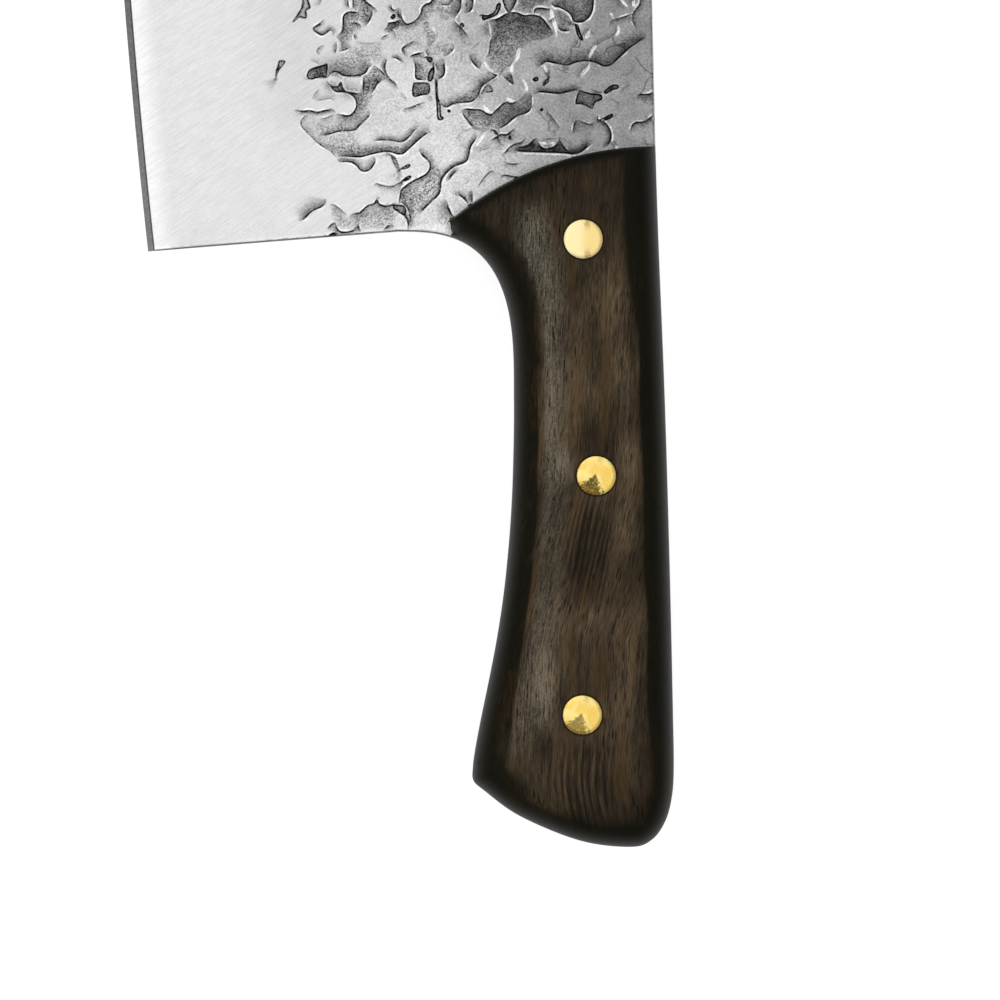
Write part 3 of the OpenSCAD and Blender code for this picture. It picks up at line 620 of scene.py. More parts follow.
def seen_line(points):
    """A line drawn in the photograph's frame, in knife coordinates."""
    points = np.asarray(points, float) / 1000
    middle = np.array([0.5 + SEEN_CORNER[0], 0.5 - SEEN_CORNER[1]])
    return (points - middle) * (SEEN_WIDTH, -SEEN_WIDTH)


def circle(middle, radius, count=48):
    angle = np.arange(count) / count * 2 * math.pi
    return middle + radius * np.stack([np.cos(angle), np.sin(angle)], 1)


# Meshes


def nearest_on(x, y, start, way):
    """The nearest place to points on a side: how far along it is, as a share, and how far off in x and y."""
    share = np.clip(((x - start[0]) * way[0] + (y - start[1]) * way[1]) / (way @ way), 0, 1)
    return share, x - start[0] - share * way[0], y - start[1] - share * way[1]


def distance_to(points, ring):
    """How far points are from a closed ring, and which of them are inside it."""
    best = np.full(len(points), np.inf)
    inside = np.zeros(len(points), bool)
    x, y = points.T
    for start, end in zip(ring, np.roll(ring, -1, 0)):
        way = end - start
        _, off_x, off_y = nearest_on(x, y, start, way)
        best = np.minimum(best, off_x ** 2 + off_y ** 2)
        if start[1] != end[1]:
            crosses = (start[1] > y) != (end[1] > y)
            inside ^= crosses & (x < start[0] + (y - start[1]) / way[1] * way[0])
    return np.sqrt(best), inside


def within(points, ring, margin):
    """Which points are inside a ring, more than a margin away from it."""
    away, inside = distance_to(points, ring)
    return inside & (away > margin)


def clear_of(points, holes, margin):
    """Which points are outside all holes, more than a margin away from them."""
    clear = np.ones(len(points), bool)
    for hole in holes:
        away, inside = distance_to(points, hole)
        clear &= ~inside & (away > margin)
    return clear


def distance_to_line(points, line):
    """How far points are from an open line."""
    best = np.full(len(points), np.inf)
    x, y = points.T
    for start, end in zip(line[:-1], line[1:]):
        _, off_x, off_y = nearest_on(x, y, start, end - start)
        best = np.minimum(best, np.hypot(off_x, off_y))
    return best


def beside(points, line, reach):
    """Points near an open line: their indexes, how far to its right and along it they are, its length."""
    tie = 1e-9
    near = np.flatnonzero(((points >= line.min(0) - reach) & (points <= line.max(0) + reach)).all(1))
    x, y = points[near].T
    best = np.full(len(near), np.inf)
    right = np.zeros(len(near))
    along = np.zeros(len(near))
    passed = 0.0
    for start, end in zip(line[:-1], line[1:]):
        way = end - start
        length = np.hypot(*way)
        share, off_x, off_y = nearest_on(x, y, start, way)
        away = np.hypot(off_x, off_y)
        cross = ((x - start[0]) * way[1] - (y - start[1]) * way[0]) / length
        closer = (away < best - tie) | ((away < best + tie) & (np.abs(cross) > np.abs(right)))
        right = np.where(closer, np.where(cross < 0, -away, away), right)
        along = np.where(closer, passed + share * length, along)
        best = np.minimum(best, away)
        passed += length
    close = best < reach
    return near[close], right[close], along[close], passed


def inset_row(ring, inset, least):
    """The points of an anticlockwise ring moved inward, without those that end up clearly nearer to it."""
    edges = np.roll(ring, -1, 0) - np.roll(ring, 1, 0)
    inward_way = np.stack([-edges[:, 1], edges[:, 0]], 1) / np.hypot(*edges.T)[:, None]
    moved = ring + inward_way * inset
    return moved[within(moved, ring, inset * least)]


def fall(away, reach):
    """1 at no distance and 0 past a reach."""
    return np.clip(1 - away / reach, 0, 1)


def round_drop(lost):
    """How far a quarter round drops, as a share of its radius, where a share of its width is lost."""
    return 1 - np.sqrt(1 - lost ** 2)


def dots(low, high, spacing):
    """Points in staggered rows over a box."""
    rows = np.arange(low[1], high[1], spacing * math.sqrt(0.75))
    columns = np.arange(low[0], high[0], spacing)
    x, y = np.meshgrid(columns, rows)
    x = x + (np.arange(len(rows)) % 2)[:, None] * spacing / 2
    return np.stack([x.ravel(), y.ravel()], 1)


def triangles(rings, inner):
    """Points, triangles and borders of a flat sheet. The first ring is its outline, the others are holes."""
    points = [tuple(p) for ring in rings for p in ring]
    edges = []
    start = 0
    for ring in rings:
        count = len(ring)
        edges += [(start + i, start + (i + 1) % count) for i in range(count)]
        start += count
    points += [tuple(p) for p in inner]
    made, _, faces, sources, _, _ = delaunay_2d_cdt([Vector(p) for p in points], edges, [], 1, 1e-7)
    flat = np.array([tuple(p) for p in made])
    faces = np.array(faces)
    faces = faces[clear_of(flat[faces].mean(1), rings[1:], -1)]
    place = {source[0]: i for i, source in enumerate(sources) if source}
    corner = flat[faces]
    turn = np.cross(corner[:, 1] - corner[:, 0], corner[:, 2] - corner[:, 0])
    faces[turn < 0] = faces[turn < 0][:, ::-1]
    border = []
    start = 0
    for ring in rings:
        border.append([place[index] for index in range(start, start + len(ring))])
        start += len(ring)
    return flat, faces, border


def closed_sheet(rings, upper_dots, lower_dots):
    """A closed sheet: an upper and a lower face that share their borders, with walls between them."""
    upper, upper_faces, upper_border = triangles(rings, upper_dots)
    lower, lower_faces, lower_border = triangles(rings, lower_dots)
    count = len(upper)
    points = np.vstack([np.column_stack([upper, np.ones(count)]),
                        np.column_stack([lower, -np.ones(len(lower))])])
    faces = upper_faces.tolist() + (lower_faces[:, ::-1] + count).tolist()
    for number, (above, below) in enumerate(zip(upper_border, lower_border)):
        outward = (ring_area(rings[number]) > 0) != (number > 0)
        for i in range(len(above)):
            j = (i + 1) % len(above)
            wall = [below[i] + count, below[j] + count, above[j], above[i]]
            faces.append(wall if outward else wall[::-1])
    return points, faces


def ring_area(ring):
    x, y = ring.T
    return (x @ np.roll(y, -1) - y @ np.roll(x, -1)) / 2


def add_object(name, data):
    made = bpy.data.objects.new(name, data)
    bpy.context.scene.collection.objects.link(made)
    return made


def add_mesh(name, points, faces, material=None):
    """An object from points of the frame, in metres."""
    mesh = bpy.data.meshes.new(name)
    mesh.from_pydata(points, [], faces)
    if material:
        mesh.materials.append(material)
    return add_object(name, mesh)


def in_frame(points):
    """Points in knife coordinates as points of the frame."""
    return ((np.asarray(points) + CORNER) / 1000).tolist()


def smooth(mesh, angle):
    """Shades a mesh smooth up to an angle."""
    mesh.shade_smooth()
    mesh.set_sharp_from_angle(angle=math.radians(angle))


def plain(made, angle):
    """Swaps an object's modifiers for their result, shaded smooth up to an angle."""
    mesh = bpy.data.meshes.new_from_object(made.evaluated_get(bpy.context.evaluated_depsgraph_get()))
    mesh.name = made.name
    made.modifiers.clear()
    made.data = mesh
    smooth(mesh, angle)
    return made


# Node trees


class Wire:
    """One output of a node. Arithmetic on it adds Math nodes, so that a pattern reads as a formula."""

    def __init__(self, graph, socket):
        self.graph = graph
        self.socket = socket

    def math(self, operation, *others):
        values = dict(enumerate((self,) + others))
        return self.graph.add("ShaderNodeMath", {"operation": operation}, values)

    def flipped(self, operation, first):
        return self.graph.add("ShaderNodeMath", {"operation": operation}, {0: first, 1: self})

    def __add__(self, other):
        return self.math("ADD", other)

    def __radd__(self, other):
        return self.math("ADD", other)

    def __sub__(self, other):
        return self.math("SUBTRACT", other)

    def __rsub__(self, other):
        return self.flipped("SUBTRACT", other)

    def __mul__(self, other):
        return self.math("MULTIPLY", other)

    def __rmul__(self, other):
        return self.math("MULTIPLY", other)

    def __truediv__(self, other):
        return self.math("DIVIDE", other)

    def __pow__(self, other):
        return self.math("POWER", other)

    def least(self, other):
        return self.math("MINIMUM", other)

    def most(self, other):
        return self.math("MAXIMUM", other)

    def fade(self, low, high, first=0.0, last=1.0, smooth=True):
        """Goes from first to last as the value goes from low to high."""
        settings = {"interpolation_type": "SMOOTHSTEP" if smooth else "LINEAR"}
        return self.graph.add("ShaderNodeMapRange", settings, {
            "Value": self, "From Min": low, "From Max": high, "To Min": first, "To Max": last})

    def other(self, name):
        """Another output of the same node."""
        return Wire(self.graph, self.socket.node.outputs[name])


class Graph:
    """A node tree that is being built, for a material, the world or Geometry Nodes."""

    def __init__(self, tree):
        self.tree = tree

    def add(self, kind, settings=None, values=None, output=0):
        node = self.tree.nodes.new(kind)
        for name, value in (settings or {}).items():
            setattr(node, name, value)
        for socket, value in (values or {}).items():
            if isinstance(value, Wire):
                self.tree.links.new(value.socket, node.inputs[socket])
            elif value is not None:
                node.inputs[socket].default_value = value
        return Wire(self, node.outputs[output]) if len(node.outputs) else None

    def vector(self, operation, *values, output=0):
        named = dict(enumerate(values))
        return self.add("ShaderNodeVectorMath", {"operation": operation}, named, output)

    def axes(self, vector):
        split = self.add("ShaderNodeSeparateXYZ", None, {0: vector})
        return split, split.other("Y"), split.other("Z")

    def join(self, x, y, z):
        return self.add("ShaderNodeCombineXYZ", None, {0: x, 1: y, 2: z})

    def noise(self, at, size, detail=2.0, roughness=0.5, flat=False, output="Fac"):
        """Soft noise whose spots are about a size across."""
        settings = {"noise_dimensions": "2D" if flat else "3D"}
        return self.add("ShaderNodeTexNoise", settings, {
            "Vector": at, "Scale": 1 / size, "Detail": detail, "Roughness": roughness}, output)

    def cells(self, at, size, feature="F1", flat=False, output="Distance"):
        settings = {"voronoi_dimensions": "2D" if flat else "3D", "feature": feature}
        return self.add("ShaderNodeTexVoronoi", settings, {"Vector": at, "Scale": 1 / size}, output)

    def shifted(self, at, x, y):
        return self.vector("ADD", at, (x, y, 0.0))

    def stretched(self, at, x, y, z=1.0):
        return self.vector("MULTIPLY", at, (x, y, z))

    def length(self, x, y):
        return self.vector("LENGTH", self.join(x, y, 0), output="Value")

    def attribute(self, name, output="Fac"):
        return self.add("ShaderNodeAttribute", {"attribute_name": name}, output=output)

    def bent(self, at, size, by, shift, flat=False):
        """Coordinates pushed about by noise."""
        push = self.noise(self.shifted(at, shift, -0.7 * shift), size, 1.0, flat=flat, output="Color")
        centred = self.vector("SUBTRACT", push, (0.5, 0.5, 0.5))
        return self.vector("MULTIPLY_ADD", centred, (by, by, 0.0 if flat else by), at)

    def mix(self, factor, first, second):
        """Two colours mixed."""
        first, second = [(*colour, 1) if isinstance(colour, tuple) else colour for colour in (first, second)]
        return self.add("ShaderNodeMix", {"data_type": "RGBA"}, {0: factor, 6: first, 7: second}, 2)

    def grey(self, value):
        return self.add("ShaderNodeCombineColor", None, {0: value, 1: value, 2: value})


def knife_point(graph, metres):
    """A point of the frame, in knife coordinates."""
    return graph.vector("MULTIPLY_ADD", metres, (1000, 1000, 1000), tuple(-CORNER))


# The forged steel. One rule gives its relief to the mesh and its colour and fine relief to the material.


def flakes(graph, at, size, lobe, period, shift, patch, low, high, power, lobed, plates=0.0):
    """Scale that broke away in steps: the depth of the steps, the painted shade at their foot, partly scale
    left in the corner, and the painted highlight on their brow.

    Size, lobe, period and patch are widths in mm: of the field's spots, of the lobes of a step's line, from
    step to step, and of the areas with steps. Shift keeps layers apart. Low and high say how much of the
    steel has steps, power how sharply they drop, and lobed and plates how much lobes and plates move them.
    """
    moved = graph.shifted(at, shift, -0.7 * shift)
    field = graph.noise(moved, size, 0.6, 0.45, flat=True) * (size / period * 1.5)
    lobes = graph.cells(graph.shifted(at, 1.3 * shift, -0.9 * shift), lobe, flat=True)
    level = field - lobes.fade(0.22, 0.75, 0.2, 0.75) * (lobe / period * lobed)
    if plates:
        shade = graph.axes(lobes.other("Color"))[0]
        level = level + shade * plates
    part = level.math("FRACT")
    kept = graph.noise(graph.shifted(at, shift + 11, 4), patch, 1.0, flat=True).fade(low, high)
    cliff = part.fade(0.965, 1, 1, 0, smooth=False)
    depth = (part ** power * 0.85 + 0.15 * part) * cliff * kept
    foot = (part.fade(0.55, 0.97) ** 1.5 * 0.55 + part.fade(0.93, 0.965) * 0.40) * cliff * kept
    brow = part.fade(0, 0.03, 1, 0) * kept
    return depth, foot, brow


def forge(graph, at):
    """The whole forge pattern: depth from 0 to 1, the painted shade at a step's foot, partly scale left in
    the corner, and the painted highlight on its brow.
    """
    bent = at
    for size, by, shift in ((9, 5, 3.1), (2.6, 1.3, 17.3), (0.6, 0.2, 41.7)):
        bent = graph.bent(bent, size, by, shift, flat=True)
    layers = [
        flakes(graph, bent, 26, 9.0, 11.0, 5.0, 24, 0.40, 0.46, 4.0, 1.2),
        flakes(graph, bent, 20, 11.0, 10.0, 71.0, 18, 0.43, 0.49, 5.0, 0.8, 0.9),
        flakes(graph, bent, 12, 6.0, 6.5, 133.0, 10, 0.50, 0.56, 5.0, 1.0, 0.6),
    ]
    depths = [layers[0][0], layers[1][0], layers[2][0] * 0.8]
    depth = depths[0].most(depths[1]).most(depths[2])
    foot = 0.0
    brow = 0.0
    top = depth.fade(0.1, 0.3, 1, 0)
    for own, (_, layer_foot, layer_brow) in zip(depths, layers):
        deepest = (own - depth).fade(-0.12, 0)
        foot = (layer_foot * deepest).most(foot)
        brow = (layer_brow * top).most(brow)
    return depth, foot, brow


def steel_section(graph, point):
    """Distance from the edge, and half the thickness that the grinding leaves there."""
    x, y, _ = graph.axes(point)
    inward = BELLY_RADIUS - graph.length(x - BELLY_MIDDLE[0], y - BELLY_MIDDLE[1])
    left = (1 - (inward - BEVEL_WIDTH) / (GRIND_WIDTH - BEVEL_WIDTH)).most(0)
    ground = HALF_SHOULDER + (HALF_SPINE - HALF_SHOULDER) * (1 - left * left)
    bevel = HALF_EDGE + (HALF_SHOULDER - HALF_EDGE) / BEVEL_WIDTH * inward
    return inward, ground.least(bevel)


def forged_half(depth):
    return HALF_SPINE - FORGE_DEPTH * depth


def own_side(graph, point):
    """The point that the forge pattern is read at: each side of the blade has its own part of it."""
    apart = 400
    x, y, z = graph.axes(point)
    left_side = z.math("GREATER_THAN", 0)
    return graph.join(x + left_side * apart - apart, y, 0), left_side


def drawn_part(y, left_side):
    """Where the steps are drawn: 1 on the left face by the heel, 0 elsewhere."""
    return y.fade(DRAWN_TO - DRAWN_BLEND, DRAWN_TO, 1, 0) * left_side


def start_tree(name, sizes):
    """A Geometry Nodes tree with named inputs: its graph, the shape that it is given, and the inputs."""
    tree = bpy.data.node_groups.new(name, "GeometryNodeTree")
    tree.interface.new_socket("Geometry", in_out="INPUT", socket_type="NodeSocketGeometry")
    for size, value in sizes.items():
        tree.interface.new_socket(size, in_out="INPUT", socket_type="NodeSocketFloat").default_value = value
    tree.interface.new_socket("Geometry", in_out="OUTPUT", socket_type="NodeSocketGeometry")
    graph = Graph(tree)
    given = graph.add("NodeGroupInput")
    return graph, given, {size: given.other(size) for size in sizes}


def end_tree(graph, body, material):
    """Ends a tree with plain geometry that wears a material."""
    whole = graph.add("GeometryNodeRealizeInstances", None, {0: body})
    dressed = graph.add("GeometryNodeSetMaterial", None, {"Geometry": whole, "Material": material})
    graph.add("NodeGroupOutput", None, {0: dressed})
    return graph.tree


def relief_tree(material):
    """Geometry Nodes that give a flat sheet the blade's section and its forged relief."""
    graph, given, size = start_tree("blade relief", {
        "Half Spine": HALF_SPINE, "Half Tang": HALF_TANG, "Forge Depth": FORGE_DEPTH})
    point = knife_point(graph, graph.add("GeometryNodeInputPosition"))
    _, y, z = graph.axes(point)
    _, ground = steel_section(graph, point)
    pattern, left_side = own_side(graph, point)
    depth, _, _ = forge(graph, pattern)
    eased, covered, drop = [
        graph.add("GeometryNodeInputNamedAttribute", {"data_type": "FLOAT"}, {"Name": name})
        for name in ("eased", "covered", "drop")]
    forged = (size["Half Spine"] - size["Forge Depth"] * depth).least(ground)
    drawn = drawn_part(y, left_side)
    half = forged + (ground - size["Forge Depth"] * drop - forged) * drawn - eased
    half = half * (1 - covered) + size["Half Tang"] * covered
    target = half * (left_side * 2 - 1)
    offset = graph.join(0, 0, (target - z) / 1000)
    moved = graph.add("GeometryNodeSetPosition", None, {"Geometry": given, "Offset": offset})
    return end_tree(graph, moved, material)


def use_tree(made, tree, **values):
    """Puts a node tree on an object and sets its inputs by their identifiers."""
    modifier = made.modifiers.new(tree.name, "NODES")
    modifier.node_group = tree
    named = {item.name: item.identifier for item in tree.interface.items_tree if item.in_out == "INPUT"}
    for name, value in values.items():
        modifier[named[name.replace("_", " ")]] = value
    return modifier


# Materials


def new_material(name):
    made = bpy.data.materials.new(name)
    made.use_nodes = True
    made.node_tree.nodes.clear()
    return made, Graph(made.node_tree)


def shader(graph, colour, roughness, metallic, normal, **constants):
    """The Principled shader with its varying inputs, and constants on its own sockets."""
    values = {"Base Color": colour, "Roughness": roughness, "Metallic": metallic, "Normal": normal}
    values.update({name.replace("_", " "): value for name, value in constants.items()})
    surface = graph.add("ShaderNodeBsdfPrincipled", None, values)
    graph.add("ShaderNodeOutputMaterial", None, {"Surface": surface})


def object_point(graph):
    """The surface's own point, in knife coordinates."""
    return knife_point(graph, graph.add("ShaderNodeTexCoord", output="Object"))


def forged_steel():
    """Steel with satin grinding by the edge and forge scale past it. Its mesh carries the drawn steps."""
    made, graph = new_material("forged steel")
    point = object_point(graph)
    x, y, _ = graph.axes(point)
    inward, ground = steel_section(graph, point)
    pattern, left_side = own_side(graph, point)
    depth, foot, brow = forge(graph, pattern)
    drawn = drawn_part(y, left_side)
    line_mark, shade_mark, rim_highlight_mark = graph.axes(graph.attribute("marks", "Vector"))
    floor = graph.attribute("floor")
    heel_edge_shade = graph.attribute("heel_edge_shade")
    facing = graph.axes(graph.add("ShaderNodeNewGeometry", output="True Normal"))[2].math("ABSOLUTE")
    cheek = facing.fade(0.35, 0.7)
    bevel = inward.fade(BEVEL_WIDTH - 0.1, BEVEL_WIDTH, 1, 0) * cheek
    forged = inward.fade(FORGED_FROM, FORGED_FULL)

    # Satin lines of the grinding, across the blade and slightly slanted, and the grit of the scale
    turned = graph.add("ShaderNodeVectorRotate", {"rotation_type": "Z_AXIS"},
                       {"Vector": point, "Angle": SATIN_LEAN})
    satin = graph.noise(graph.stretched(turned, 0.06, 1.0), 0.30, 2.0, 0.65) - 0.5
    grains = graph.axes(graph.cells(pattern, 0.21, flat=True, output="Color"))
    grit = grains[0] * 1.5 + graph.noise(pattern, 0.42, 2.0, 0.6, flat=True) * 0.5 - 1.0
    ragged = graph.noise(pattern, 0.40, 2.0, 0.6, flat=True) - 0.5 + (grains[1] - 0.5) * 0.30
    uneven = graph.noise(pattern, 2.2, 2.0, 0.5, flat=True) - 0.5
    cloud = graph.noise(pattern, 6.0, 2.0, 0.5, flat=True) - 0.5

    # Hairline cracks between the drawn steps
    bent = graph.bent(pattern, 3.0, 2.4, 57.0, flat=True)
    cracks = graph.cells(bent, 7.0, "DISTANCE_TO_EDGE", flat=True).fade(0.012, 0.04, 1, 0)
    cracks = cracks * graph.noise(pattern, 5.5, 1.0, flat=True).fade(0.5, 0.6) * inward.fade(48, 66)

    # Steps: a dark line at the foot, a painted shade that fades out over the hollow, partly scale left in
    # the corner, and a painted highlight on the rim
    old = (ground - forged_half(depth)).fade(-0.01, 0.03) * cheek * (1 - drawn)
    line = (line_mark * (1 + ragged * 1.7 + uneven * 1.2)).fade(0.46, 0.72)
    line = line.most(cracks * 0.45) * drawn
    shade = shade_mark * (1 + uneven * 0.8) * drawn + foot * old
    rim = (rim_highlight_mark * (0.95 + ragged * 1.2 + uneven * 3.2)).fade(0.2, 0.8) * drawn + brow * old
    hollow = floor * drawn + depth.fade(0.15, 0.6) * old

    # The plain surface darkens from the edge to the spine, with a dull band on the ground part
    by_nose = inward.fade(34, 91, 0.695, 0.27, smooth=False)
    by_heel = inward.fade(50, 80, 0.695, 0.315)
    plateau = by_nose + (by_heel - by_nose) * y.fade(8, 20, 1, 0)
    plateau = plateau + y.fade(-4, 3, 0.07, 0) * inward.fade(48, 56)
    dull = inward.fade(18, 30) * inward.fade(30, 44, 1, 0) * y.fade(-2, 8) * 0.10
    plateau = plateau * (1 - dull) + cloud * 0.16 * inward.fade(34, 60)
    grey = plateau * (1 + satin * 0.40 * (1 - forged * 0.7) + uneven * (0.05 + 0.21 * forged))
    grey = grey + inward.fade(BEVEL_WIDTH, BEVEL_WIDTH + 4.5, 0.15, 0)
    from_heel = (x + HEEL_WIDTH) * -HEEL_WAY[1] + (y + HEEL_DROP) * HEEL_WAY[0]
    grey = grey + from_heel.fade(0.45, 1.0, 0.10, 0)

    # Hollows, painted shades, grit, lines and painted rim highlights on it, and a painted shade line on the
    # heel's edge
    # The floors' own darker tone, and the painted shade at the steps' feet
    grey = grey * (1 - hollow * 0.15) * (1 - shade.least(1) * 0.90)
    gritty = forged * 0.26 + hollow.least(2) * plateau.fade(0.36, 0.58, 0.20, 0.44) + shade * 0.6 + 0.05
    grey = grey * (1 + grit * gritty).most(0.12) * (1 - line * 0.96)
    # Painted highlight on the steps' rims
    grey = grey + rim * (0.95 - plateau * 0.85) * 0.75
    # Painted shade along the heel's edge
    grey = grey * (1 - heel_edge_shade.fade(0.35, 0.75) * 0.75)

    # The honed bevel, darkened by a painted reflection of the dark room and most at its shoulder, and the
    # narrow sides of the blade, with a painted shade by the heel's edge
    shoulder = inward.fade(BEVEL_WIDTH - 0.45, BEVEL_WIDTH - 0.2) * bevel
    bevel_dark_reflection = (y.fade(-HEEL_DROP, 25, 0.38, 0.30) + grit * 0.08) * (1 - shoulder * 0.72)
    grey = grey * (1 - bevel * (1 - bevel_dark_reflection))
    side_grey = (0.5 + satin * 0.2) * (1 - heel_edge_shade * 0.7)
    grey = side_grey + (grey - side_grey) * cheek
    colour = graph.grey(grey.most(0.012).least(0.95))
    roughness = 0.30 + forged * 0.08 + hollow.least(1) * 0.12
    fine = grit * gritty * 0.02 - line * 0.05 + satin * 0.004 - depth * FORGE_DEPTH * old
    bump = graph.add("ShaderNodeBump", None, {"Strength": 0.45, "Distance": 0.001, "Height": fine})
    shader(graph, colour, roughness, 1.0, bump)
    return made


def wenge():
    """Dark oiled wood, polished by the hand, with a painted sheen and a painted dark reflection where it
    rounds off. Its mesh carries the distance to the sides and the butt.
    """
    made, graph = new_material("oiled wenge")
    point = object_point(graph)
    x, y, z = graph.axes(point)
    reach = graph.attribute("reach")
    behind = FRONT_RADIUS - graph.length(x, y + FRONT_RADIUS)
    behind = behind + y.fade(-FRONT_RADIUS - 1, -FRONT_RADIUS, 40, 0)
    finger_side = x.fade(*FINGER_PART, 1, 0)
    back_side = 1 - finger_side
    butt = y.fade(*BUTT_PART, 1, 0)

    # The fibres run along the handle, lean under the middle rivet and turn to the back at the butt
    drift = y * 0.05 + y.fade(-89, -60, 0, 5.2, smooth=False) + y.fade(-130, -112, 3.0, 0)
    along = graph.join(x - drift, y, z.math("ABSOLUTE"))
    push = graph.noise(graph.stretched(along, 0.30, 0.05, 0.30), 1.0, 1.0, output="Color")
    centred = graph.vector("SUBTRACT", push, (0.5, 0.5, 0.5))
    wavy = graph.vector("MULTIPLY_ADD", centred, (1.0, 0.0, 0.0), along)
    fibre = graph.noise(graph.stretched(wavy, 1.0, 0.045), 0.36, 3.0, 0.7)
    fine_fibre = graph.noise(graph.stretched(wavy, 1.0, 0.08), 0.20, 2.0, 0.65)
    broad = graph.noise(graph.stretched(wavy, 1.0, 0.14), 2.4, 2.0, 0.5)
    patchy = graph.noise(graph.stretched(wavy, 1.0, 0.5), 7.0, 2.0, 0.5)

    # Stripes of growth layers where the cheek cuts them
    stripes = 0.0
    for name, (out, drop, wide, long, period) in STRIPES.items():
        place = RIVET_PLACES[name]
        away = graph.length((x - place[0] - out) / wide, (y - place[1] + drop) / long)
        wave = ((graph.axes(wavy)[0] + patchy * 0.6) * (2 * math.pi / period)).math("SINE").fade(-0.6, 0.7)
        stripes = (away.fade(0.45, 1.1, 1, 0) * wave).most(stripes)

    # Pores: short black strokes along the fibres
    pore_at = graph.bent(graph.stretched(wavy, 1.0, 0.09), 0.5, 0.2, 5.0)
    pore = graph.cells(pore_at, 0.52).fade(0.13, 0.22, 1, 0)
    pore = pore * graph.noise(graph.stretched(wavy, 0.6, 0.25), 3.0, 1.0).fade(0.54, 0.62)

    # A painted sheen along the finger side, with painted glints in it
    sheen = reach.fade(4.8, 6.6) * reach.fade(7.5, 15.0, 1, 0) * finger_side * y.fade(-74, -56, 0.6, 1)
    sheen = sheen * y.fade(-14, -6, 1, 0) * y.fade(-113, -101)
    sheen = sheen * x.fade(-27, -22).most(y.fade(-60, -40, 1, 0))
    glint = graph.noise(graph.stretched(along, 1.0, 0.30), 0.20, 1.0).fade(0.52, 0.70)

    # A painted dark reflection where the sides and the front round off: how wide it is, and how softly it
    # ends
    wide = 4.6 + y.fade(-112, -86, 1.6, 0) * finger_side + y.fade(-34, -20, 0, 1.8) * back_side
    wide = wide + y.fade(-46, -34, 0, 0.8) * finger_side
    soft = 1 + butt * 3.5 + y.fade(-52, -22, 0, 4.5) * finger_side + y.fade(-42, -12, 0, 1.6) * back_side
    round_part = ((reach - wide + (patchy - 0.5) * 1.2) / soft).fade(-0.40, 0.30, 1, 0)
    front_part = behind.fade(0.5, 2.6, 1, 0)
    dark_reflection = round_part.most(front_part) * (1 - butt * 0.06) * (1 - (fine_fibre - 0.5).most(0) * 0.6)

    # Clouds, which also strengthen or weaken the painted sheen, and how light the wood is from the front to
    # the butt
    spots = 1.0
    for across, down, wide_way, long_way, change in CLOUDS:
        place = seen_line((across, down))
        away = graph.length((x - place[0]) / wide_way, (y - place[1]) / long_way)
        spots = away.fade(0.1, 1.0, 1 + change, 1) * spots
    back_band = reach.fade(4.2, 8.0, 0.55, 1).most(finger_side)
    level = y.fade(-36, -2, 0.82, 0.29) * y.fade(-128, -92, 0.60, 1.05) * back_band
    tone = fibre.fade(0.34, 0.66) * 0.40 + fine_fibre.fade(0.36, 0.64) * 0.42 + broad.fade(0.30, 0.72) * 0.24
    light = tone * (0.55 + patchy.fade(0.3, 0.7) * 0.6) * (1 - stripes * 0.75) * level * spots

    # The colours, one over the other
    colour = graph.mix(light, BLACK_BROWN, BROWN)
    colour = graph.mix((broad - 0.5).fade(0.04, 0.16) * 0.25, colour, AMBER)
    # A painted sheen with painted glints, also where the clouds are light
    sheen_amount = sheen * spots + (spots - 1).most(0) * 0.30 * (1 - round_part)
    sheen_amount = sheen_amount * (0.28 + glint * 0.6 + (fibre - 0.5) * 1.1 + (fine_fibre - 0.5) * 1.6).most(0)
    colour = graph.mix(sheen_amount * 0.85, colour, PAINTED_SHEEN)
    # A painted dark reflection on the rounded sides and front
    colour = graph.mix(dark_reflection * 0.96, colour, ROUNDED_DARK_REFLECTION)
    streaky = fine_fibre.fade(0.3, 0.6)
    border = reach.fade(1.8, 4.2) * reach.fade(4.6, 6.2, 1, 0) * finger_side * patchy.fade(0.47, 0.60)
    colour = graph.mix(border * 0.30 * streaky, colour, WARM_BORDER)
    # A painted sheen along the rounding by the butt
    low_sheen = reach.fade(2.6, 4.4) * reach.fade(4.8, 8.0, 1, 0) * butt * finger_side
    colour = graph.mix(low_sheen * patchy.fade(0.40, 0.60) * 0.5 * streaky, colour, BUTT_SHEEN)
    colour = graph.mix(pore * (1 - round_part) * 0.92, colour, PORE_BLACK)
    # A painted shadow in the gap round each rivet head
    for place in RIVET_PLACES.values():
        from_rivet = graph.length(x - place[0], y - place[1])
        colour = graph.mix(from_rivet.fade(HEAD_D / 2 + 0.15, HEAD_D / 2 + 0.5, 0.75, 0), colour, RIVET_SHADOW)
    roughness = 0.42 + fibre * 0.14 + pore * 0.3 - sheen * 0.06
    height = fibre * 0.02 + fine_fibre * 0.012 - pore * 0.12 - stripes * 0.02
    bump = graph.add("ShaderNodeBump", None, {"Strength": 0.7, "Distance": 0.001, "Height": height})
    shader(graph, colour, roughness, 0.0, bump, Specular_IOR_Level=0.06, Specular_Tint=(*WOOD_TINT, 1))
    return made


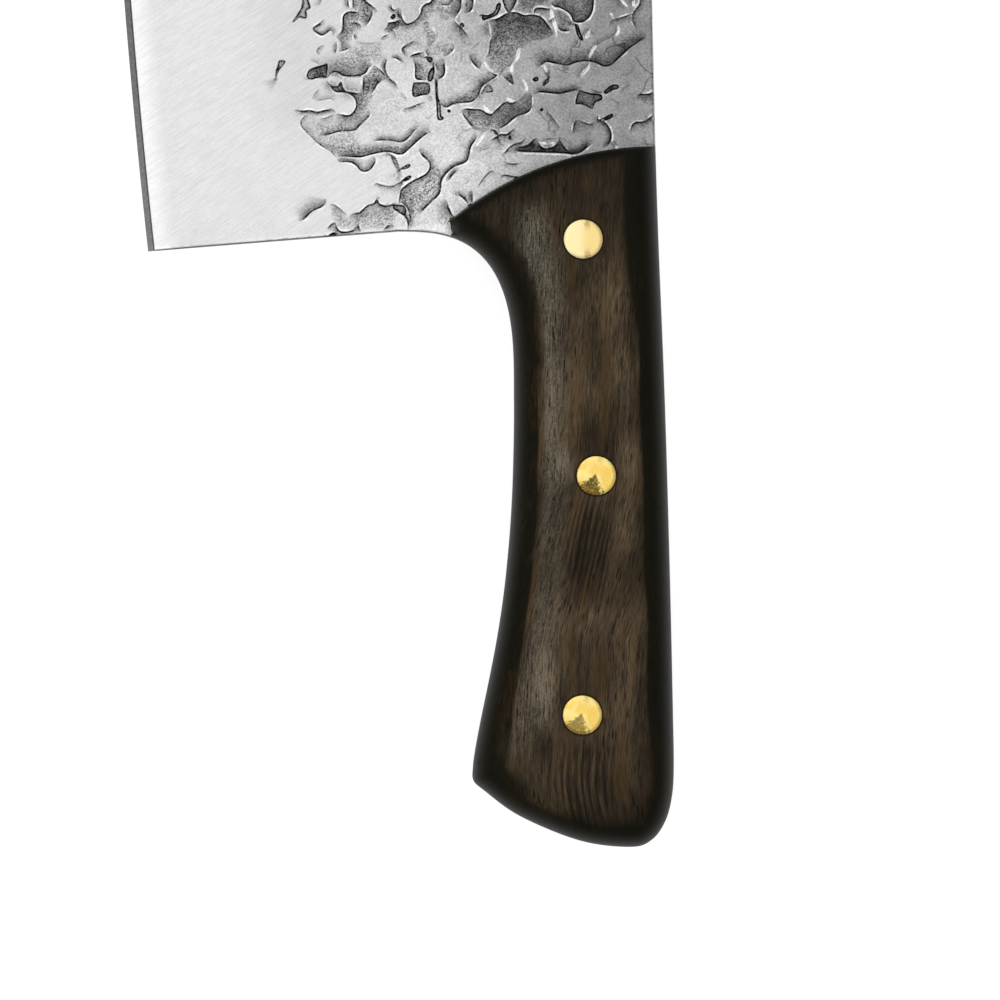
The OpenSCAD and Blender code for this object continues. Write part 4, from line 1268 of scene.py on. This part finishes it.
def turned_brass():
    """Brass, turned, with painted reflections. Its mesh carries places from the rivet's axis and how rich a
    head is.
    """
    made, graph = new_material("turned brass")
    local = graph.attribute("from_axis", "Vector")
    richness = graph.attribute("richness")
    x, y, _ = graph.axes(local)
    outward = graph.vector("NORMALIZE", graph.join(x, y, 0))
    radius = graph.length(x, y)
    noise = graph.noise(local, 0.5, 3.0, 0.6)
    rings = graph.noise(graph.join(radius, 0, 0), 0.14, 2.0, 0.6)
    normal = graph.add("ShaderNodeNewGeometry", output="Normal")
    facing = graph.axes(normal)[2].math("ABSOLUTE").fade(0.9, 0.99)
    tilt = ((noise - 0.5) * 0.10 + (rings - 0.5) * 0.08 + 0.03) * facing * radius.fade(0.0, 0.5)
    tilted = graph.vector("MULTIPLY_ADD", outward, graph.join(tilt, tilt, 0), normal)

    # The front rivet is paler, with a painted reflection that lightens its left, and the others are mottled
    pale = graph.mix((x + noise).fade(-0.5, 1.3), *PALE_BRASS)
    rich = graph.mix(graph.noise(local, 0.24, 2.0, 0.6).fade(0.36, 0.66), *RICH_BRASS)
    areas = graph.noise(local, 2.4, 1.0, 0.4).fade(0.38, 0.62)
    rich = graph.mix(areas * 0.55, rich, BRIGHT_BRASS)
    rich = graph.mix((1 - areas) * 0.35, rich, DEEP_BRASS)
    colour = graph.mix(richness.fade(0, 0.6), pale, rich)

    # Painted dark reflections: a wedge on the richer heads and a streak on all heads
    wedge_at = graph.vector("NORMALIZE", graph.join(x + 0.1, y - 0.35, 0))
    wedge = graph.vector("DOT_PRODUCT", wedge_at, (*WEDGE_WAY, 0), output="Value")
    wedge = (wedge + (noise - 0.5) * 0.75).fade(0.74, 0.87) * facing * richness
    streak = (x + (noise - 0.5) * 1.2).fade(0.1, 0.5) * (x - noise).fade(0.3, 1.0, 1, 0)
    dark_reflection = wedge.most(streak * radius.fade(1.4, 3.2) * (1 - richness * 0.5) * facing * 0.55)
    reflection_colour = graph.mix(graph.noise(local, 0.30, 2.0, 0.6).fade(0.42, 0.66), *DARK_REFLECTION_BRASS)
    colour = graph.mix(dark_reflection * 0.92, colour, reflection_colour)
    roughness = 0.22 + graph.noise(local, 0.7, 3.0, 0.65) * 0.12
    shader(graph, colour, roughness, 1.0, graph.vector("NORMALIZE", tilted))
    return made


# Pieces


def drawn_line(points):
    """A line of the tables, smooth and in knife coordinates."""
    line = seen_line(points)
    if len(points) > 2:
        line = np.vstack([smooth_curve(line, 4), line[-1:]])
    return evenly(line, STROKE_SPACING)


def step_rows(line):
    """Rows of dots along both sides of a drawn step."""
    way = np.gradient(line, axis=0)
    right = np.stack([way[:, 1], -way[:, 0]], 1) / np.maximum(np.hypot(*way.T), 1e-9)[:, None]
    rows = [line + right * offset for offset in STEP_OFFSETS]
    return np.vstack(rows + [(line + right * LAST_OFFSET)[::2]])


def tapered(along, length, end):
    """How strong a line is along its length, with ends that fade out."""
    return np.clip(np.minimum(along, length - along) / end, 0, 1) ** END_POWER


def raise_at(values, near, new):
    """Raises some of the values to new ones, where they are lower."""
    values[near] = np.maximum(values[near], new)


def step_values(flat, steps, ridges):
    """How deep each point is, its marks (line, painted shade and rim highlight), how far it is on a hollow's
    floor.
    """
    drop, line_mark, rim, floor = np.zeros((4, len(flat)))
    light = np.ones(len(flat))
    for strength, shade_reach, line, closed in steps:
        reach = shade_reach * SHADE_STRETCH
        near, right, along, length = beside(flat, line, max(reach, STROKE_SIDE))
        own = strength * (1 if closed else tapered(along, length, min(STEP_END, STEP_END_SHARE * length)))
        low_side = np.clip((right + STEP_WIDTH / 2) / STEP_WIDTH, 0, 1)
        raise_at(drop, near, own * low_side * fall(right, reach) ** 2)
        raise_at(line_mark, near, own * fall(np.abs(right - LINE_MIDDLE), LINE_REACH))
        # Painted shade at the step's foot, partly scale left in the corner
        light[near] *= 1 - own * low_side * fall(right, reach) ** 1.5 * SHADE_DEPTH
        # Painted highlight on the step's upper rim
        bright = own * (WEAK_RIM if closed or strength > 1 else 1)
        raise_at(rim, near, bright * fall(np.abs(right + RIM_MIDDLE), RIM_REACH))
    # Painted highlights along the ridges
    for strength, line in ridges:
        near, right, along, length = beside(flat, line, STROKE_SIDE)
        own = strength * tapered(along, length, RIDGE_END_SHARE * length)
        raise_at(rim, near, own * np.clip(RIDGE_LEVEL - np.abs(right) / RIM_REACH, 0, RIDGE_TOP))
    for weight, ring in FLOORS:
        away, inside = distance_to(flat, seen_line(ring))
        border = min(FLOOR_BORDER, FLOOR_BORDER_SHARE * away[inside].max())
        floor = np.maximum(floor, weight * np.where(inside, np.clip(away / border, 0, 1), 0))
    drop = np.maximum(drop, np.minimum(floor, FLOOR_DEEPEST) * FLOOR_DEPTH_SHARE)
    return drop, np.stack([line_mark, 1 - light, rim], 1), floor


def from_edge(points):
    """How far points are from the cutting edge."""
    return BELLY_RADIUS - np.hypot(points[:, 0] - BELLY_MIDDLE[0], points[:, 1] - BELLY_MIDDLE[1])


def under_wood(points, margin=0.0):
    """Which points the scales cover, by a little more or less than they do."""
    near = np.hypot(*(points - FRONT_MIDDLE).T) < FRONT_RADIUS + REVEAL + margin
    return (near | (points[:, 1] < -FRONT_RADIUS)) & (points[:, 0] > -TIP_REACH - REVEAL - margin)


def at_heel(points):
    """Which points are by the heel, between the handle's tip and the cutting edge."""
    x, y = points.T
    return (y < HEEL_TOP) & (x < -TIP_REACH + HEEL_PAST_TIP) & (x > -HEEL_WIDTH + HEEL_BEFORE_EDGE)


def at_spine(points, from_y):
    """Which points from a height up are on the side of the spine."""
    x, y = points.T
    return (y > from_y) & (x > edge_x(y) + SPINE_SIDE)


def face_dots(rings, near_spacing, far_spacing, near_until):
    """Dots over a face of the blade. The wood hides the tang, and the ground band has no relief."""
    low = rings[0].min(0)
    high = rings[0].max(0)
    near = dots(low, (high[0], near_until), near_spacing)
    far = dots((low[0], near_until), high, far_spacing)
    band = dots(low, high, BAND_SPACING)
    tang = dots(low, high, TANG_SPACING)
    chosen = np.vstack([
        near[(from_edge(near) > RELIEF_FROM) & ~under_wood(near, WOOD_CLEAR)],
        far[from_edge(far) > RELIEF_FROM],
        band[(from_edge(band) <= RELIEF_FROM) & ~under_wood(band)],
        tang[under_wood(tang, -1)],
    ])
    return chosen[within(chosen, rings[0], OUTLINE_CLEAR) & clear_of(chosen, rings[1:], HOLE_CLEAR)]


def border_rows(outline):
    """Rows of dots along the bevel, the eased edges of spine and heel, and the step under the wood."""
    y = np.arange(-HEEL_DROP + EDGE_START, BLADE_LENGTH - NOSE_EDGE_RADIUS, EDGE_SPACING)
    rows = [np.stack([edge_x(y) + inset, y], 1) for inset in EDGE_INSETS]
    for inset in SPINE_INSETS:
        row = inset_row(outline, inset, INSET_LEAST)
        rows.append(row[at_spine(row, SPINE_START)])
    angle = np.linspace(*np.radians(FRONT_ARC), 180)
    for radius in (FRONT_RADIUS + REVEAL - FRONT_STEP, FRONT_RADIUS + REVEAL):
        arc = FRONT_MIDDLE + radius * np.stack([np.cos(angle), np.sin(angle)], 1)
        rows.append(arc[within(arc, outline, ARC_CLEAR)])
    for inset in HEEL_INSETS:
        row = inset_row(outline, inset, INSET_LEAST)
        rows.append(row[at_heel(row)])
    return np.vstack(rows)


def blade_dots(rings, lines):
    """The dots of the left and the right face of the blade."""
    borders = border_rows(rings[0])
    left = face_dots(rings, *LEFT_DOTS)
    keep = np.ones(len(left), bool)
    for line in lines:
        keep[beside(left, line, STEP_CLEAR)[0]] = False
    by_steps = np.vstack([step_rows(line) for line in lines])
    by_steps = by_steps[within(by_steps, rings[0], ROW_CLEAR) & ~under_wood(by_steps, WOOD_ROW_CLEAR)]
    return np.vstack([left[keep], by_steps, borders]), np.vstack([face_dots(rings, *RIGHT_DOTS), borders])


def make_blade(material):
    """Blade and tang: a flat sheet whose points carry values for the relief tree and the steel."""
    rings = [steel_outline(OUTLINE_SPACING)]
    rings += [circle(place, SLEEVE_D / 2 + TANG_GAP) for place in RIVET_PLACES.values()]
    steps = [(strength, max(reach * SEEN_WIDTH / 1000, SHADE_LEAST), drawn_line(line), line[0] == line[-1])
             for strength, reach, line in STEPS]
    ridges = [(strength, drawn_line(line)) for strength, line in RIDGES]
    lines = [step[2] for step in steps] + [ridge[1] for ridge in ridges]
    points, faces = closed_sheet(rings, *blade_dots(rings, lines))
    points[:, 2] *= HALF_SPINE
    made = add_mesh("forged_blade", in_frame(points), faces)

    flat = points[:, :2]
    away, _ = distance_to(flat, rings[0])
    eased = np.where(at_spine(flat, 0), EASED_EDGE * round_drop(fall(away, EASED_EDGE)), 0)
    room = np.clip(from_edge(flat) / HEEL_EASE_ROOM, 0, 1)
    eased = np.maximum(eased, HEEL_EASE * room * round_drop(fall(away, HEEL_EASE) * at_heel(flat)))
    drop, marks, floor = step_values(flat, steps, ridges)
    left_face = points[:, 2] > 0
    # The last value marks a painted shade along the heel's edge
    values = {"eased": eased, "covered": under_wood(flat, -UNDER_EDGE).astype(float),
              "drop": drop * left_face, "floor": floor * left_face,
              "heel_edge_shade": fall(away, HEEL_LINE) * at_heel(flat)}
    for name, value in values.items():
        made.data.attributes.new(name, "FLOAT", "POINT").data.foreach_set("value", value)
    marks = (marks * left_face[:, None]).ravel()
    made.data.attributes.new("marks", "FLOAT_VECTOR", "POINT").data.foreach_set("vector", marks)
    use_tree(made, relief_tree(material), Half_Spine=float(HALF_SPINE), Half_Tang=float(HALF_TANG),
             Forge_Depth=FORGE_DEPTH)
    return plain(made, SHARP_ANGLE)


def scale_sides():
    """A scale's outline as two lines: its sides and butt, and its front. They meet in the blunt tip."""
    outer = handle_side()
    angle = np.linspace(math.pi / 2, math.pi, 400)
    arc = FRONT_MIDDLE + FRONT_RADIUS * np.stack([np.cos(angle), np.sin(angle)], 1)
    arc = arc[arc[:, 0] > -TIP_REACH]
    finger = outer[outer[:, 0] > -TIP_REACH]
    ring = np.vstack([finger, [[-TIP_REACH, finger[-1][1] - 0.05]], [[-TIP_REACH, arc[-1][1]]], arc[::-1]])
    tip = len(finger)
    corner = (ring[tip] + ring[tip + 1]) / 2
    blunt = rounded(ring[tip - 6], corner, ring[tip + 8], TIP_ROUND, 12)
    finger = finger[np.hypot(*(finger - corner).T) > np.hypot(*(blunt[0] - corner))]
    arc = arc[np.hypot(*(arc - corner).T) > np.hypot(*(blunt[-1] - corner))]
    return (evenly(np.vstack([finger, blunt[:6]]), SCALE_SPACING),
            evenly(np.vstack([blunt[5:], arc[::-1]]), SCALE_SPACING))


def make_scale(name, side, material):
    """A wooden scale. Its height over the tang follows from the distance to its outline and to its front."""
    side_line, front_line = scale_sides()
    ring = joined([side_line, front_line])
    if ring_area(ring) < 0:
        ring = ring[::-1]
    holes = [circle(place, HEAD_D / 2 + WOOD_GAP) for place in RIVET_PLACES.values()]

    # Rows of dots follow the rounding, closer together where it is steep
    insets = SIDE_ROUND * (1 - np.cos(np.radians(ROUND_ANGLES)) ** (2 / ROUND_POWER))
    insets[-1] = SIDE_ROUND
    upper = [inset_row(ring, inset, SCALE_INSET_LEAST) for inset in insets]
    cheek = dots(ring.min(0), ring.max(0), CHEEK_SPACING)
    upper = np.vstack(upper + [cheek[within(cheek, ring, SIDE_ROUND + CHEEK_CLEAR)]])
    under = dots(ring.min(0), ring.max(0), UNDER_SPACING)
    upper = upper[clear_of(upper, holes, CHEEK_CLEAR)]
    under = under[within(under, ring, UNDER_CLEAR) & clear_of(under, holes, UNDER_CLEAR)]
    points, faces = closed_sheet([ring] + holes, upper, under)

    reach = distance_to_line(points[:, :2], side_line)
    points[:, 2] = side * np.where(points[:, 2] > 0, scale_height(points[:, :2], reach), HALF_TANG)
    if side < 0:
        faces = [face[::-1] for face in faces]
    made = add_mesh(name, in_frame(points), faces, material)
    made.data.attributes.new("reach", "FLOAT", "POINT").data.foreach_set("value", reach)
    smooth(made.data, SHARP_ANGLE)
    return made


def scale_height(flat, reach):
    """How high the wood stands over the middle of the blade."""
    x, y = flat.T
    rise = HALF_HANDLE - HALF_TANG
    side_height = HALF_TANG + rise * (1 - fall(reach, SIDE_ROUND) ** ROUND_POWER) ** (1 / ROUND_POWER)
    behind = FRONT_RADIUS - np.hypot(x - FRONT_MIDDLE[0], y - FRONT_MIDDLE[1])
    behind = np.where(y < FRONT_MIDDLE[1], FRONT_RADIUS, behind)
    front_height = HALF_HANDLE - FRONT_ROUND_HEIGHT * round_drop(fall(behind, FRONT_ROUND))
    return np.minimum(side_height, front_height)


def rivet_tree(material):
    """Geometry Nodes for one half of a rivet: a head on a shank, with a bore for the hollow half."""
    graph, _, size = start_tree("rivet half", {
        "Head Diameter": HEAD_D, "Head Thickness": HEAD_THICKNESS, "Shank Diameter": SLEEVE_D,
        "Shank Length": 10.0, "Bore Diameter": 0.0, "Chamfer": 0.12, "Worn": 1.0, "Side": 1.0,
        "Across": 0.0, "Along": 0.0})
    least = 0.001

    def rod(diameter, length, top, rows=1, rings=1):
        made = graph.add("GeometryNodeMeshCylinder", None, {
            "Vertices": 64, "Side Segments": rows, "Fill Segments": rings, "Radius": diameter / 2,
            "Depth": length})
        return graph.add("GeometryNodeTransform", None, {
            "Geometry": made, "Translation": graph.join(0, 0, top - length / 2)})

    def chosen(test, without, given):
        return graph.add("GeometryNodeSwitch", {"input_type": "GEOMETRY"},
                         {"Switch": test, "False": without, "True": given})

    # The head's outer rim is chamfered
    head = rod(size["Head Diameter"], size["Head Thickness"], HALF_HANDLE, rows=4, rings=8)
    point = graph.add("GeometryNodeInputPosition")
    x, y, z = graph.axes(point)
    outermost = (graph.length(x, y) - (size["Head Diameter"] / 2 - least)).math("GREATER_THAN", 0)
    topmost = (z - (HALF_HANDLE - least)).math("GREATER_THAN", 0)
    drop = graph.join(0, 0, 0 - outermost * topmost * size["Chamfer"])
    head = graph.add("GeometryNodeSetPosition", None, {"Geometry": head, "Offset": drop})

    # The shank starts inside the head, and the bore is under it
    shank = rod(size["Shank Diameter"], size["Shank Length"], HALF_HANDLE - size["Head Thickness"] * 0.5)
    solid = graph.add("GeometryNodeMeshBoolean", {"operation": "UNION", "solver": "EXACT"})
    for part in (head, shank):
        graph.tree.links.new(part.socket, solid.socket.node.inputs["Mesh 2"])
    bore = rod(size["Bore Diameter"].most(0.5), size["Shank Length"] + 2,
               HALF_HANDLE - size["Head Thickness"])
    hollow = graph.add("GeometryNodeMeshBoolean", {"operation": "DIFFERENCE", "solver": "EXACT"},
                       {"Mesh 1": solid, "Mesh 2": bore})
    body = chosen(size["Bore Diameter"].math("GREATER_THAN", 0), solid, hollow)
    for kind, name, value in (("FLOAT_VECTOR", "from_axis", point), ("FLOAT", "richness", size["Worn"])):
        body = graph.add("GeometryNodeStoreNamedAttribute", {"data_type": kind, "domain": "POINT"},
                         {"Geometry": body, "Name": name, "Value": value})

    # It is set in its place, and turned over for the right side
    placed = graph.join(x + size["Across"] + float(CORNER[0]), y + size["Along"] + float(CORNER[1]),
                        z * size["Side"] + float(CORNER[2]))
    placed = graph.add("ShaderNodeVectorMath", {"operation": "SCALE"}, {0: placed, "Scale": 0.001})
    body = graph.add("GeometryNodeSetPosition", None, {"Geometry": body, "Position": placed})
    turned = graph.add("GeometryNodeFlipFaces", None, {"Mesh": body})
    return end_tree(graph, chosen(size["Side"].math("LESS_THAN", 0), body, turned), material)


def make_rivets(material):
    """The hollow half of each rivet with its head on the left, and the pin with its head on the right."""
    tree = rivet_tree(material)
    room_inside = 2 * HALF_HANDLE - 2 * HEAD_THICKNESS
    in_head = HEAD_THICKNESS * 0.5
    halves = {
        "sleeve": dict(Shank_Diameter=SLEEVE_D, Bore_Diameter=PIN_D + 2 * PRESS_ROOM, Side=1.0,
                       Shank_Length=room_inside - PIN_SHOW + in_head),
        "pin": dict(Shank_Diameter=PIN_D, Bore_Diameter=0.0, Side=-1.0,
                    Shank_Length=room_inside - PIN_ROOM + in_head),
    }
    made = []
    for name in RIVETS:
        across, along = (float(value) for value in RIVET_PLACES[name])
        for half, sizes in halves.items():
            rivet = add_object(f"{name}_{half}", bpy.data.meshes.new(f"{name}_{half}"))
            use_tree(rivet, tree, Head_Diameter=float(HEAD_D), Worn=RICHNESS[name],
                     Across=across, Along=along, **sizes)
            plain(rivet, 30)
            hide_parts(f"{name}_rivet_{half}")
            made.append(rivet)
    return made


# Stage


def make_camera():
    """A camera that looks straight down at the left side, in the photograph's frame."""
    data = bpy.data.cameras.new("camera")
    made = add_object("camera", data)
    seen = SEEN_WIDTH / 1000
    data.sensor_width = SENSOR_WIDTH
    data.lens = SENSOR_WIDTH * CAMERA_DISTANCE / seen
    data.clip_end = 20
    made.location = (CORNER[0] / 1000 - SEEN_CORNER[0] * seen, CORNER[1] / 1000 - SEEN_CORNER[1] * seen,
                     (CORNER[2] + HALF_SPINE) / 1000 + CAMERA_DISTANCE)
    bpy.context.scene.camera = made


def soft_box(name, across, width, radiance):
    """A soft box that looks straight down."""
    data = bpy.data.lights.new(name, "AREA")
    data.shape = "RECTANGLE"
    data.size = width
    data.size_y = LAMP_LENGTH
    data.energy = radiance * math.pi * width * LAMP_LENGTH
    made = add_object(name, data)
    made.location = (CORNER[0] / 1000 + across, CORNER[1] / 1000 + LAMP_UP_BLADE, LAMP_HEIGHT)
    made.visible_camera = False


def white_stage(name, points, faces, glow, shade):
    """Part of the white surroundings: as bright as paper to the eye and in reflections, with its shadows."""
    made, graph = new_material(name)
    path = graph.add("ShaderNodeLightPath", output="Is Camera Ray")
    seen = path.most(path.other("Is Glossy Ray")).most(path.other("Is Transmission Ray"))
    pale = graph.add("ShaderNodeBsdfDiffuse", None, {"Color": (PAPER, PAPER, PAPER, 1)})
    shaded = graph.add("ShaderNodeBsdfDiffuse", None, {"Color": (shade, shade, shade, 1)})
    glowing = graph.add("ShaderNodeEmission", None, {"Color": (1, 1, 1, 1), "Strength": glow})
    lit = graph.add("ShaderNodeAddShader", None, {0: shaded, 1: glowing})
    surface = graph.add("ShaderNodeMixShader", None, {0: seen, 1: pale, 2: lit})
    behind = graph.add("ShaderNodeNewGeometry", output="Backfacing")
    clear = graph.add("ShaderNodeBsdfTransparent")
    surface = graph.add("ShaderNodeMixShader", None, {0: behind, 1: surface, 2: clear})
    graph.add("ShaderNodeOutputMaterial", None, {"Surface": surface})
    add_mesh(name, points, faces, made)


def make_stage():
    """A white table, and a low white backdrop round it for views from the side."""
    sides = BACKDROP_SIDES
    rim = circle(np.zeros(2), TABLE_RADIUS, sides)
    low = [(x, y, 0.0) for x, y in rim]
    high = [(x, y, BACKDROP_HEIGHT) for x, y in rim]
    walls = [((i + 1) % sides, i, i + sides, (i + 1) % sides + sides) for i in range(sides)]
    white_stage("table", low, [tuple(range(sides))], TABLE_GLOW, TABLE_SHADE)
    white_stage("backdrop", low + high, walls, 1.0, 0.0)


def make_light():
    """The dark room and the soft boxes in it."""
    world = bpy.data.worlds.new("studio")
    bpy.context.scene.world = world
    world.use_nodes = True
    world.node_tree.nodes.clear()
    graph = Graph(world.node_tree)
    glossy = graph.add("ShaderNodeLightPath", output="Is Glossy Ray")
    level = glossy.fade(0, 1, ROOM_FILL, ROOM_SEEN)
    room = graph.add("ShaderNodeBackground", None, {"Color": (1, 1, 1, 1), "Strength": level})
    graph.add("ShaderNodeOutputWorld", None, {"Surface": room})
    for name, lamp in LAMPS.items():
        soft_box(name, *lamp)


scene = bpy.context.scene
scene.view_settings.view_transform = "Standard"
make_camera()
blade = make_blade(forged_steel())
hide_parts("blade")
wood = wenge()
scales = []
for name, side in (("left_scale", 1), ("right_scale", -1)):
    scale = make_scale(f"wooden_{name}", side, wood)
    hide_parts(name)
    scales.append(scale)
for made in [blade] + scales + make_rivets(turned_brass()):
    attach(made, "root")
make_stage()
make_light()
